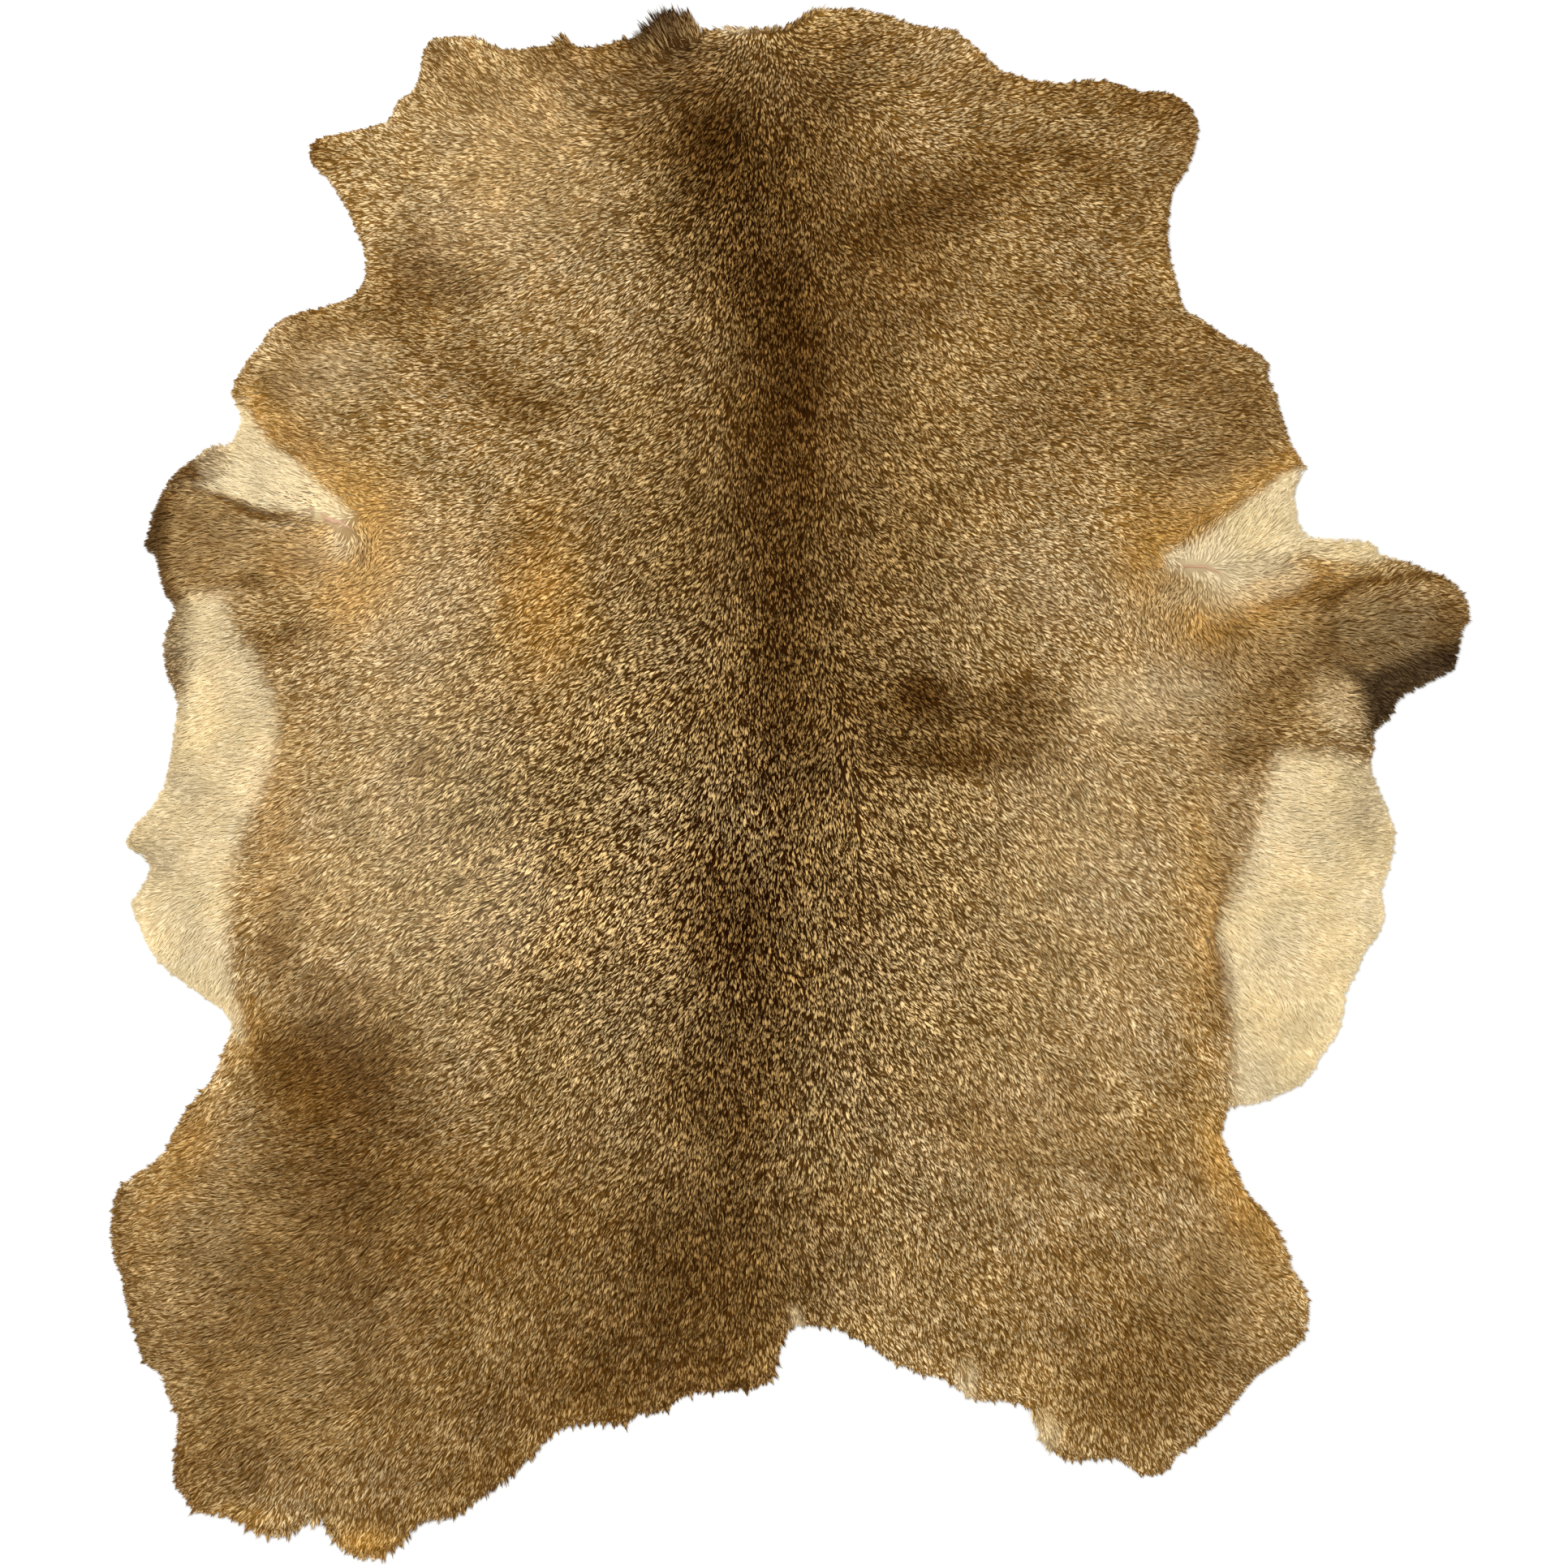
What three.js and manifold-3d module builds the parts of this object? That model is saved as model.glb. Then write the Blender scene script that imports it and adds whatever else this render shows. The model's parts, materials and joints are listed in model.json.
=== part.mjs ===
// A deer hide rug: one tanned skin with its coat on, lying flat with the hair up.
// Millimetres, +Z up. +Y runs from the rump to the neck, and +X is the right-hand side as seen
// from above. The origin is the middle of the footprint, on the surface that the skin lies on.
import * as THREE from "three";
import { mergeVertices } from "three/addons/utils/BufferGeometryUtils.js";
import Module from "manifold-3d";

const wasm = await Module();
wasm.setup();

// Driving sizes
const RIM_HEIGHT = 3.5; // skin and flattened coat at the cut edge
const BACK_HEIGHT = 11; // skin and lying coat over most of the body
const RIM_TAPER = 36; // width over which the coat rises from the cut edge to its full height
const EDGE_SETBACK = 0.5; // of a stretch's reach of hair: how far the cut edge lies inside its tips
const CHORD_ERROR = 0.6; // how far the straight steps of an arc may leave it
const FIELD_CELL = 20; // spacing of the points that carry the coat's surface
const CUTTER_MARGIN = 20; // how far the block and the prism that cuts it pass each other

// Locks of hair along the rim
const LOCK_PITCH = 19;
const LOCK_WIDTH = { narrowest: 10, widest: 15 }; // at the root
const LOCK_HEIGHT = 3.2; // at the root, and nothing at the tip, which lies on the floor
const LOCK_ROOT = 8; // how far the root lies inside the cut edge
const LOCK_SPREAD = { shortest: 0.5, longest: 0.9 }; // of the stretch's own reach of hair
const LOCK_LEAN = { least: 0.75, most: 1.25 }; // share of the comb's pull on a lock's heading

// The outline of the hair tips, clockwise as seen from above, in stretches named for the animal.
// lock: the reach of the rim's hair. comb: the way that the hair lies there.
// A corner is [x, y, bow]: the arc from it to the next corner bulges out by bow, or in if negative.
const OUTLINE = [
  {
    name: "nape and right side of the neck", lock: 5, comb: [0.3, 0.5],
    corners: [
      [-73, 598, 0], [-67, 606, 1], [-8, 607, 0], [18, 622, 1], [63, 620, 1],
      [93, 610, -1], [131, 605, 1], [167, 573, -4], [226, 564, 2], [252, 565, 1],
      [276, 556, 1], [306, 554, 5], [327, 526, 4], [306, 474, -3], [304, 421, 1],
    ],
  },
  {
    name: "right shoulder", lock: 5, comb: [1, -0.1],
    corners: [
      [313, 382, 1], [345, 362, 0], [358, 353, 4], [384, 336, 0], [382, 326, 2],
      [393, 296, 0], [401, 272, 1], [412, 253, 1], [404, 246, -4],
    ],
  },
  {
    name: "right foreleg", lock: 7, comb: [1, -0.4],
    corners: [
      [411, 200, -1], [463, 197, 1], [471, 186, 1], [528, 166, 3], [545, 137, 1],
      [538, 122, 1], [532, 92, 0], [518, 84, 0], [489, 70, -1], [482, 55, 1],
      [467, 42, 1], [467, 25, -1],
    ],
  },
  {
    name: "right belly flap", lock: 6, comb: [1, -0.5],
    corners: [
      [465, 10, 1], [484, -37, 3], [472, -85, 1], [476, -107, 2], [461, -133, 0],
      [445, -166, 2], [437, -202, -1], [424, -219, 4], [400, -245, 3],
    ],
  },
  {
    name: "right haunch", lock: 7, comb: [0.5, -0.8],
    corners: [
      [351, -258, -1], [346, -281, -2], [367, -326, 1], [387, -348, 1], [400, -379, 0],
      [400, -385, 2], [414, -408, 3], [411, -444, 2], [374, -473, 0], [339, -515, 1],
      [309, -538, 1], [298, -552, 3], [274, -550, 0], [261, -539, 1], [219, -541, 6],
    ],
  },
  {
    name: "right of the tail", lock: 9, comb: [0.2, -1],
    corners: [
      [193, -506, -2], [179, -495, -1], [146, -495, 0], [120, -475, 0], [104, -473, 1],
      [70, -457, 0], [59, -447, 1], [36, -436, 0], [6, -432, -1],
    ],
  },
  {
    name: "left of the tail", lock: 11, comb: [-0.1, -1],
    corners: [
      [-6, -447, 0], [-12, -476, 1], [-29, -485, 0], [-85, -489, 0], [-99, -503, 1],
      [-124, -505, 0], [-129, -513, -1], [-177, -514, -1], [-200, -532, 1], [-219, -551, 1],
    ],
  },
  {
    name: "left hind leg", lock: 9, comb: [-0.2, -1],
    corners: [
      [-266, -586, 1], [-292, -588, -1], [-309, -606, 18], [-372, -599, 0], [-375, -586, 0],
      [-380, -585, 0], [-398, -599, 6], [-439, -593, 0], [-457, -585, 1], [-479, -582, 1],
    ],
  },
  {
    name: "left haunch", lock: 6, comb: [-1, -0.4],
    corners: [
      [-494, -558, 1], [-493, -527, -1], [-491, -506, 0], [-502, -484, 0], [-502, -473, 1],
      [-518, -463, 2], [-535, -408, 0], [-536, -393, 1], [-543, -378, 5], [-538, -320, 0],
      [-526, -312, 1], [-504, -298, -1], [-495, -276, 2], [-462, -232, -1], [-455, -210, -1],
    ],
  },
  {
    name: "left belly flap", lock: 5, comb: [-1, -0.4],
    corners: [
      [-447, -191, 0], [-450, -185, 0], [-501, -148, 3], [-522, -114, 1], [-530, -94, -1],
      [-515, -72, -1], [-515, -59, 0], [-534, -49, 3], [-518, -24, -1], [-502, 1, -1],
    ],
  },
  {
    name: "left foreleg", lock: 6, comb: [-1, 0],
    corners: [
      [-492, 63, -1], [-499, 83, 3], [-502, 120, 1], [-493, 142, 0], [-502, 152, 1],
      [-510, 183, 0], [-519, 190, 3], [-499, 245, 1], [-481, 261, -1], [-471, 270, 2],
      [-450, 272, -1],
    ],
  },
  {
    name: "left shoulder", lock: 5, comb: [-0.8, 0.3],
    corners: [
      [-440, 296, 1], [-449, 314, 1], [-439, 335, 1], [-424, 354, 2], [-409, 373, 1],
      [-388, 380, -1], [-351, 391, -1], [-341, 408, -1], [-344, 432, -2],
    ],
  },
  {
    name: "left side of the neck", lock: 5, comb: [-0.8, 0.4],
    corners: [
      [-369, 482, 0], [-385, 497, 2], [-385, 514, 1], [-375, 520, -1], [-323, 531, 0],
      [-315, 549, 0], [-304, 554, -1], [-297, 575, 3], [-288, 598, 2], [-250, 598, 1],
      [-232, 588, 0], [-192, 592, 0],
    ],
  },
  {
    name: "crest tuft", lock: 10, comb: [-0.8, 0.8],
    corners: [
      [-184, 598, 0], [-159, 592, -1], [-135, 600, 0], [-122, 601, 0], [-102, 621, 1],
      [-89, 618, 1],
    ],
  },
];

// Where the coat stands higher or lies lower than over most of the body.
// x, y: middle. rx, ry: half widths. turn: degrees, counter-clockwise. rise: at the middle.
const SWELLS = [
  { name: "mane over the withers", x: -45, y: 520, rx: 130, ry: 110, turn: 0, rise: 3.5 },
  { name: "spine", x: -10, y: 40, rx: 70, ry: 520, turn: 0, rise: 2 },
  { name: "rump", x: -110, y: -400, rx: 190, ry: 150, turn: 20, rise: 3 },
  { name: "ruffled hair beside the spine", x: 110, y: 60, rx: 75, ry: 50, turn: -10, rise: 3 },
  { name: "left shoulder swell", x: -255, y: 330, rx: 80, ry: 120, turn: 25, rise: 3 },
  { name: "left shoulder dip", x: -300, y: 425, rx: 60, ry: 60, turn: 0, rise: -2.5 },
  { name: "right shoulder swell", x: 230, y: 450, rx: 120, ry: 60, turn: -20, rise: 2 },
  { name: "left flank dip", x: -270, y: 90, rx: 110, ry: 160, turn: 10, rise: -1.5 },
  { name: "right flank swell", x: 240, y: -30, rx: 120, ry: 200, turn: -10, rise: 1.5 },
  { name: "left haunch fold", x: -385, y: -235, rx: 80, ry: 60, turn: 15, rise: 3.5 },
  { name: "right haunch swell", x: 210, y: -330, rx: 110, ry: 80, turn: 20, rise: 2.5 },
  { name: "left belly hair", x: -480, y: -60, rx: 70, ry: 190, turn: 0, rise: -3 },
  { name: "right belly hair", x: 420, y: -110, rx: 80, ry: 170, turn: 0, rise: -3 },
  { name: "left armpit", x: -400, y: 240, rx: 80, ry: 45, turn: -25, rise: -4 },
  { name: "right armpit", x: 370, y: 205, rx: 85, ry: 50, turn: 20, rise: -4 },
  { name: "left foreleg", x: -460, y: 190, rx: 60, ry: 50, turn: 0, rise: -2 },
  { name: "right foreleg", x: 490, y: 125, rx: 55, ry: 50, turn: -15, rise: -1 },
];

// Creases where the skin is pinched or the coat parts. path: [x, y] along the crease.
const CREASES = [
  { name: "left armpit", depth: 3.5, width: 22, path: [[-470, 243], [-425, 228], [-345, 203]] },
  { name: "right armpit", depth: 3, width: 22, path: [[310, 170], [345, 172], [405, 196]] },
  { name: "beside the spine", depth: 3, width: 18, path: [[52, 62], [40, 30], [52, -25], [50, -90]] },
  { name: "left groin", depth: 2.5, width: 24, path: [[-447, -190], [-420, -150], [-400, -95]] },
  { name: "right groin", depth: 2.5, width: 24, path: [[352, -255], [318, -225], [300, -180]] },
  { name: "right foreleg", depth: 2, width: 18, path: [[440, 105], [465, 150], [520, 163]] },
];

// Soft lumps of the lying coat: waves that cross, each with its length, heading and height.
const LUMPS = [
  { length: 151, heading: 12, height: 0.5 },
  { length: 107, heading: 81, height: 0.45 },
  { length: 83, heading: 133, height: 0.35 },
];

const degrees = THREE.MathUtils.degToRad;

// A number from 0 to 1 that looks random and is the same on every run.
function scatter(index, salt) {
  const wave = Math.sin(index * 12.9898 + salt * 78.233) * 43758.5453;
  return wave - Math.floor(wave);
}

// The points of the arc from one corner to the next, without the last.
function arcPoints(from, to, bow) {
  const chord = to.clone().sub(from);
  const outward = new THREE.Vector2(-chord.y, chord.x).normalize();
  const steps = Math.max(1, Math.ceil(Math.sqrt(Math.abs(bow) / CHORD_ERROR)));
  return Array.from({ length: steps }, (_, i) => {
    const along = i / steps;
    const lift = 4 * bow * along * (1 - along);
    return from.clone().addScaledVector(chord, along).addScaledVector(outward, lift);
  });
}

// The whole outline as points, each with the hair of its stretch.
function hideOutline() {
  const corners = OUTLINE.flatMap((stretch) =>
    stretch.corners.map(([x, y, bow]) => ({ at: new THREE.Vector2(x, y), bow, stretch })),
  );
  return corners.flatMap(({ at, bow, stretch }, i) => {
    const next = corners[(i + 1) % corners.length].at;
    return arcPoints(at, next, bow).map((point) => ({ point, stretch }));
  });
}

// The skin's cut edge: the outline drawn in by a share of each stretch's reach of hair.
function cutEdge(outline) {
  const count = outline.length;
  return outline.map(({ point, stretch }, i) => {
    const before = point.clone().sub(outline[(i + count - 1) % count].point).normalize();
    const after = outline[(i + 1) % count].point.clone().sub(point).normalize();
    const along = before.add(after).normalize();
    const inward = new THREE.Vector2(along.y, -along.x);
    const setback = EDGE_SETBACK * stretch.lock;
    return { point: point.clone().addScaledVector(inward, setback), inward, stretch };
  });
}

function distanceToSegment(p, a, b) {
  const side = b.clone().sub(a);
  const share = THREE.MathUtils.clamp(p.clone().sub(a).dot(side) / side.lengthSq(), 0, 1);
  return p.distanceTo(a.clone().addScaledVector(side, share));
}

function isInside(p, edge) {
  let inside = false;
  edge.forEach(({ point: a }, i) => {
    const b = edge[(i + 1) % edge.length].point;
    const crosses = a.y > p.y !== b.y > p.y;
    if (crosses && p.x < a.x + ((p.y - a.y) * (b.x - a.x)) / (b.y - a.y)) inside = !inside;
  });
  return inside;
}

// How far a point lies inside the cut edge, or 0 outside it.
function depthInside(p, edge) {
  if (!isInside(p, edge)) return 0;
  return Math.min(
    ...edge.map(({ point }, i) => distanceToSegment(p, point, edge[(i + 1) % edge.length].point)),
  );
}

// 1 in the middle of a swell, falling smoothly to 0 at twice its half widths.
function swellShare({ x, y, rx, ry, turn }, p) {
  const local = p.clone().sub(new THREE.Vector2(x, y));
  local.rotateAround(new THREE.Vector2(), -degrees(turn));
  const reach = Math.hypot(local.x / rx, local.y / ry);
  return 1 - THREE.MathUtils.smoothstep(reach, 0, 2);
}

function creaseShare({ path, width }, p) {
  const line = path.map(([x, y]) => new THREE.Vector2(x, y));
  const distances = line.slice(1).map((end, i) => distanceToSegment(p, line[i], end));
  return 1 - THREE.MathUtils.smoothstep(Math.min(...distances), 0, width);
}

function lumpHeight({ length, heading, height }, p) {
  const across = p.x * Math.cos(degrees(heading)) + p.y * Math.sin(degrees(heading));
  return height * Math.sin((2 * Math.PI * across) / length);
}

// The height of the coat's surface over the floor.
function coatHeight(p, edge) {
  const sum = (items, share) => items.reduce((total, item) => total + share(item), 0);
  const body =
    BACK_HEIGHT +
    sum(SWELLS, (swell) => swell.rise * swellShare(swell, p)) -
    sum(CREASES, (crease) => crease.depth * creaseShare(crease, p)) +
    sum(LUMPS, (lump) => lumpHeight(lump, p));
  const share = THREE.MathUtils.smoothstep(depthInside(p, edge), 0, RIM_TAPER);
  return THREE.MathUtils.lerp(RIM_HEIGHT, body, share);
}

function solidFrom(geometry) {
  geometry.deleteAttribute("normal");
  geometry.deleteAttribute("uv");
  const merged = mergeVertices(geometry, 1e-4);
  const vertProperties = merged.attributes.position.array;
  const triVerts = new Uint32Array(merged.index.array);
  return new wasm.Manifold(new wasm.Mesh({ numProp: 3, vertProperties, triVerts }));
}

function geometryFrom(solid) {
  const { vertProperties, triVerts } = solid.getMesh();
  const geometry = new THREE.BufferGeometry();
  geometry.setAttribute("position", new THREE.BufferAttribute(vertProperties, 3));
  geometry.setIndex(new THREE.BufferAttribute(triVerts, 1));
  geometry.computeVertexNormals();
  return geometry;
}

// A block under the whole coat, whose upper face is the coat's surface.
function coatField(edge) {
  const box = new THREE.Box2().setFromPoints(edge.map(({ point }) => point));
  const size = box.getSize(new THREE.Vector2()).addScalar(2 * FIELD_CELL);
  const middle = box.getCenter(new THREE.Vector2());
  const cells = size.clone().divideScalar(FIELD_CELL).round();
  const geometry = new THREE.BoxGeometry(size.x, size.y, 1, cells.x, cells.y, 1);
  geometry.translate(middle.x, middle.y, 0);
  const position = geometry.attributes.position;
  for (let i = 0; i < position.count; i++) {
    const p = new THREE.Vector2(position.getX(i), position.getY(i));
    position.setZ(i, position.getZ(i) > 0 ? coatHeight(p, edge) : -CUTTER_MARGIN);
  }
  return solidFrom(geometry);
}

// The upright prism inside the cut edge, from the floor to over the coat, which cuts the block.
function edgePrism(edge) {
  const shape = new THREE.Shape(edge.map(({ point }) => point));
  const depth = BACK_HEIGHT + CUTTER_MARGIN;
  return solidFrom(new THREE.ExtrudeGeometry(shape, { depth, bevelEnabled: false }));
}

// One lock: a three-sided spike with a flat underside, from its root on the edge's inner side.
function lockSolid(root, heading, length, width) {
  const side = new THREE.Vector2(-heading.y, heading.x).multiplyScalar(width / 2);
  const tip = root.clone().addScaledVector(heading, length);
  const left = root.clone().add(side);
  const right = root.clone().sub(side);
  const points = [
    [left.x, left.y, 0], [right.x, right.y, 0], [root.x, root.y, LOCK_HEIGHT], [tip.x, tip.y, 0],
  ];
  const geometry = new THREE.BufferGeometry();
  geometry.setAttribute("position", new THREE.Float32BufferAttribute(points.flat(), 3));
  geometry.setIndex([0, 1, 2, 0, 3, 1, 0, 2, 3, 1, 3, 2]);
  return solidFrom(geometry);
}

// A value between a range's two ends that differs from lock to lock.
function varied(range, index, salt) {
  const [low, high] = Object.values(range);
  return THREE.MathUtils.lerp(low, high, scatter(index, salt));
}

// Locks at an even pitch along the cut edge, turned towards the way that the hair is combed.
function rimLocks(edge) {
  const locks = [];
  let walked = 0;
  edge.forEach(({ point, inward, stretch }, i) => {
    const next = edge[(i + 1) % edge.length];
    const length = point.distanceTo(next.point);
    while (walked < length) {
      const place = point.clone().lerp(next.point, walked / length);
      const number = locks.length;
      const pull = new THREE.Vector2(...stretch.comb).multiplyScalar(varied(LOCK_LEAN, number, 1));
      const heading = pull.sub(inward).normalize();
      const reach = stretch.lock * varied(LOCK_SPREAD, number, 2);
      const width = varied(LOCK_WIDTH, number, 3);
      const root = place.clone().addScaledVector(heading, -LOCK_ROOT);
      locks.push(lockSolid(root, heading, LOCK_ROOT + reach, width));
      walked += LOCK_PITCH;
    }
    walked -= length;
  });
  return locks;
}

function makeHide() {
  const edge = cutEdge(hideOutline());
  const slab = coatField(edge).intersect(edgePrism(edge));
  const solid = rimLocks(edge).reduce((whole, lock) => whole.add(lock), slab);
  const geometry = geometryFrom(solid);
  geometry.computeBoundingBox();
  const middle = geometry.boundingBox.getCenter(new THREE.Vector3());
  geometry.translate(-middle.x, -middle.y, 0);
  const coat = new THREE.MeshStandardMaterial({ color: 0x8f7148, roughness: 0.75, metalness: 0 });
  const hide = new THREE.Mesh(geometry, coat);
  hide.name = "hide";
  return hide;
}

const rug = new THREE.Group();
rug.add(makeHide());

export default rug;
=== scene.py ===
"""A deer hide rug: the tanned skin, its underfur and its lying coat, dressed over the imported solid.

The scene is in metres, +Z up, with the neck towards +Y. Tables and functions about hair are in
millimetres and degrees, and a heading of 0 points along +X and 90 along +Y.
"""
import functools
import json
import math

import bmesh
import bpy
import numpy as np
from bpy.props import FloatProperty, FloatVectorProperty, IntProperty, PointerProperty
from bpy.types import Operator, Panel, PropertyGroup
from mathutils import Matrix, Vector
from mathutils.bvhtree import BVHTree

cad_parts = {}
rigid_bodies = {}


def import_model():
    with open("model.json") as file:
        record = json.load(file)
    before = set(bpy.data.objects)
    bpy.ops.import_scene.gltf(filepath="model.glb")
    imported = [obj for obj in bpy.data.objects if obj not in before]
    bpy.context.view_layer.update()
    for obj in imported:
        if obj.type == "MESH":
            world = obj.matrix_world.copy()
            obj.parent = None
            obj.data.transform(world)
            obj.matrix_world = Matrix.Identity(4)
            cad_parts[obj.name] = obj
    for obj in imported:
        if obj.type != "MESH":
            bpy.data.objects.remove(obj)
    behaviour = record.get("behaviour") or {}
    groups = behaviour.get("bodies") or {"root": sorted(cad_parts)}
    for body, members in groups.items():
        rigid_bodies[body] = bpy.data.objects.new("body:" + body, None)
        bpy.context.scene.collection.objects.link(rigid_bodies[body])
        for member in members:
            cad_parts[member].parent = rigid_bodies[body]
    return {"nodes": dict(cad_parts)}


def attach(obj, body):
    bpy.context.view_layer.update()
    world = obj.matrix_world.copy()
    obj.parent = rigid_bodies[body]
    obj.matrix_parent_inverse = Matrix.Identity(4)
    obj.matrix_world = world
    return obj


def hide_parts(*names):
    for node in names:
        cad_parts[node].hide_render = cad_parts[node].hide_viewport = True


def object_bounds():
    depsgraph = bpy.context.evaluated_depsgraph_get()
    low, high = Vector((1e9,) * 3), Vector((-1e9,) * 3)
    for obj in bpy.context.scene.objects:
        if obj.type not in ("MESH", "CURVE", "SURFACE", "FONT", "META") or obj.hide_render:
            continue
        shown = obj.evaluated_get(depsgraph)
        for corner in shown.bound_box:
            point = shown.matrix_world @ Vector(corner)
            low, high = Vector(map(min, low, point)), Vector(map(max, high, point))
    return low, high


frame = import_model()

bl_info = {
    "name": "Deer hide rug",
    "version": (1, 0, 0),
    "blender": (4, 5, 0),
    "location": "3D View > Sidebar > Hide",
    "description": "Builds a hair-on deer hide rug over its solid",
    "category": "Object",
}

MM = 0.001
UPRIGHT, LYING = 0.02, 0.5  # how far a face's normal points up: at most in a wall, at least in a top
WALL_TOP = 2.4  # least height of the solid's upright wall
EDGE_SLACK = 0.15  # how far the cut edge may lie off the solid's
COAT_CELL = 8.0  # of the grid that holds the heights of the solid's upper side
LEAST_COAT = 3  # height below which a ray has missed that side
RAY_START = 100  # height from which rays go down
CAD_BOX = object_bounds()
HIDE = frame["nodes"]["hide"]
SEED = 20
WAVES_SPAN = 3000  # width of the ground that random waves are made for
NEARBY_SOFTNESS = 12  # added to distances, so that no place draws everything to itself

# How the hair lies: for each part of the hide, the heading that it is combed to at (x, y).
COMB = {
    "spine": [
        (-15, 498, 270), (-15, 368, 270), (-8, 238, 270), (-8, 108, 270), (-12, -22, 270),
        (-15, -152, 268), (-47, -282, 262), (-80, -412, 262),
    ],
    "left of the spine": [
        (-112, 368, 222), (-112, 238, 220), (-112, 108, 222), (-112, -22, 225),
        (-125, -152, 228), (-177, -282, 235), (-210, -412, 245),
    ],
    "left side": [
        (-210, 368, 205), (-210, 238, 208), (-210, 108, 215), (-229, -22, 218),
        (-242, -152, 218), (-275, -282, 212), (-307, -412, 225),
    ],
    "left flank": [
        (-340, 108, 205), (-359, -22, 212), (-372, -152, 215), (-385, -250, 195),
        (-437, -347, 188), (-405, -477, 205),
    ],
    "left belly": [
        (-470, 75, 195), (-470, -22, 190), (-509, -48, 180), (-470, -139, 236),
        (-437, -185, 235),
    ],
    "left haunch": [
        (-515, -412, 190), (-470, -562, 215), (-385, -601, 255), (-242, -555, 243),
        (-112, -490, 262),
    ],
    "top of the neck": [
        (-82, 598, 165), (-72, 570, 205), (-44, 556, 245), (-18, 554, 278), (14, 562, 312),
        (36, 584, 345), (48, 603, 5), (-70, 520, 240), (30, 520, 300),
    ],
    "left of the neck": [
        (-127, 580, 160), (-177, 576, 150), (-242, 563, 145), (-288, 589, 140),
        (-340, 517, 160), (-359, 498, 180), (-340, 433, 180), (-242, 465, 185),
        (-145, 465, 200),
    ],
    "left shoulder": [
        (-359, 368, 165), (-405, 355, 150), (-418, 316, 178), (-340, 290, 185),
        (-275, 238, 198),
    ],
    "left foreleg": [(-502, 173, 185), (-489, 222, 175), (-457, 173, 190), (-405, 147, 195)],
    "left armpit": [
        (-437, 277, 150), (-415, 250, 158), (-395, 236, 160), (-370, 228, 165), (-350, 222, 130),
        (-346, 205, 320), (-339, 196, 280), (-342, 186, 248), (-352, 176, 215), (-372, 180, 195),
        (-365, 192, 212), (-390, 186, 187), (-410, 190, 182), (-430, 214, 172), (-400, 205, 178),
        (-318, 200, 192), (-318, 176, 202), (-335, 158, 208), (-305, 230, 190), (-340, 245, 178),
    ],
    "tail": [
        (-47, -477, 268), (-145, -503, 260), (18, -425, 290), (83, -451, 298),
        (180, -477, 300), (206, -516, 290),
    ],
    "right haunch": [
        (278, -529, 290), (343, -477, 315), (395, -412, 325), (343, -315, 303),
        (278, -380, 310), (180, -380, 300),
    ],
    "right of the spine": [
        (83, 368, 310), (83, 238, 318), (83, 108, 320), (115, -22, 318), (115, -152, 315),
        (115, -282, 305), (62, 30, 325), (40, 30, 255),
    ],
    "right side": [
        (213, 368, 335), (213, 238, 335), (213, 108, 325), (245, -22, 315), (245, -152, 310),
    ],
    "right flank": [(330, -22, 325), (330, -152, 308)],
    "right belly": [(440, -35, 355), (440, -120, 335), (408, -204, 308), (395, 4, 350)],
    "right foreleg": [(466, 160, 30), (505, 121, 345), (492, 75, 330), (408, 121, 340)],
    "right armpit": [
        (402, 228, 55), (372, 208, 55), (346, 194, 62), (322, 186, 95), (386, 186, 20),
        (420, 186, 8), (370, 170, 0), (402, 164, 0), (352, 156, 325), (338, 152, 290),
        (322, 156, 250), (304, 160, 235), (350, 134, 312), (382, 138, 345), (430, 150, 355),
        (300, 214, 345), (278, 190, 335), (330, 238, 345), (376, 264, 350), (290, 172, 300),
    ],
    "right shoulder": [(343, 335, 0), (375, 290, 350), (310, 270, 355)],
    "right of the neck": [
        (115, 580, 25), (180, 543, 8), (278, 537, 5), (310, 465, 350),
        (148, 465, 330), (50, 498, 300), (278, 400, 345),
    ],
}

# Partings: the hair turns away to both sides of a path, within its reach.
PARTINGS = [
    {
        "path": [(42, 60), (38, 36), (44, 7), (51, -13), (54, -42), (53, -84), (56, -100)],
        "turn": 13,
        "reach": 8,
    },
]

# The hair by place. length and width: of one lock. reach: from the skin's cut edge to the tips.
HAIR = [
    # name, x, y, length, width, reach
    ("top of the neck", -28, 596, 9, 1.6, 3.0),
    ("mane", -80, 560, 15, 1.9, 4.0),
    ("left of the neck", -330, 520, 13, 1.5, 2.5),
    ("right of the neck", 250, 540, 13, 1.6, 2.5),
    ("withers", -10, 400, 12, 1.95, 2.5),
    ("back", -10, 100, 12, 1.95, 2.5),
    ("loin", -10, -200, 12, 1.95, 3.0),
    ("rump", -90, -450, 14, 1.95, 6.0),
    ("right of the tail", 110, -450, 13, 1.9, 4.5),
    ("left hind leg", -360, -580, 15, 1.5, 6.5),
    ("left haunch", -490, -400, 14, 1.4, 3.5),
    ("right haunch", 370, -430, 14, 1.5, 3.5),
    ("left belly", -480, -50, 18, 1.1, 2.5),
    ("right belly", 430, -90, 18, 1.2, 3.0),
    ("left flank", -350, -50, 15, 1.4, 3.0),
    ("right flank", 300, -60, 15, 1.45, 3.0),
    ("left armpit", -400, 240, 18, 0.95, 3.0),
    ("left armpit, ridge", -352, 206, 9, 1.4, 3.0),
    ("right armpit", 375, 215, 18, 1.0, 3.0),
    ("right armpit, whorl", 325, 170, 9, 1.5, 3.0),
    ("left foreleg", -480, 195, 15, 1.0, 3.0),
    ("right foreleg", 475, 120, 15, 1.1, 3.5),
    ("left shoulder", -330, 350, 14, 1.5, 2.5),
    ("right shoulder", 350, 330, 14, 1.5, 2.5),
]

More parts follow.
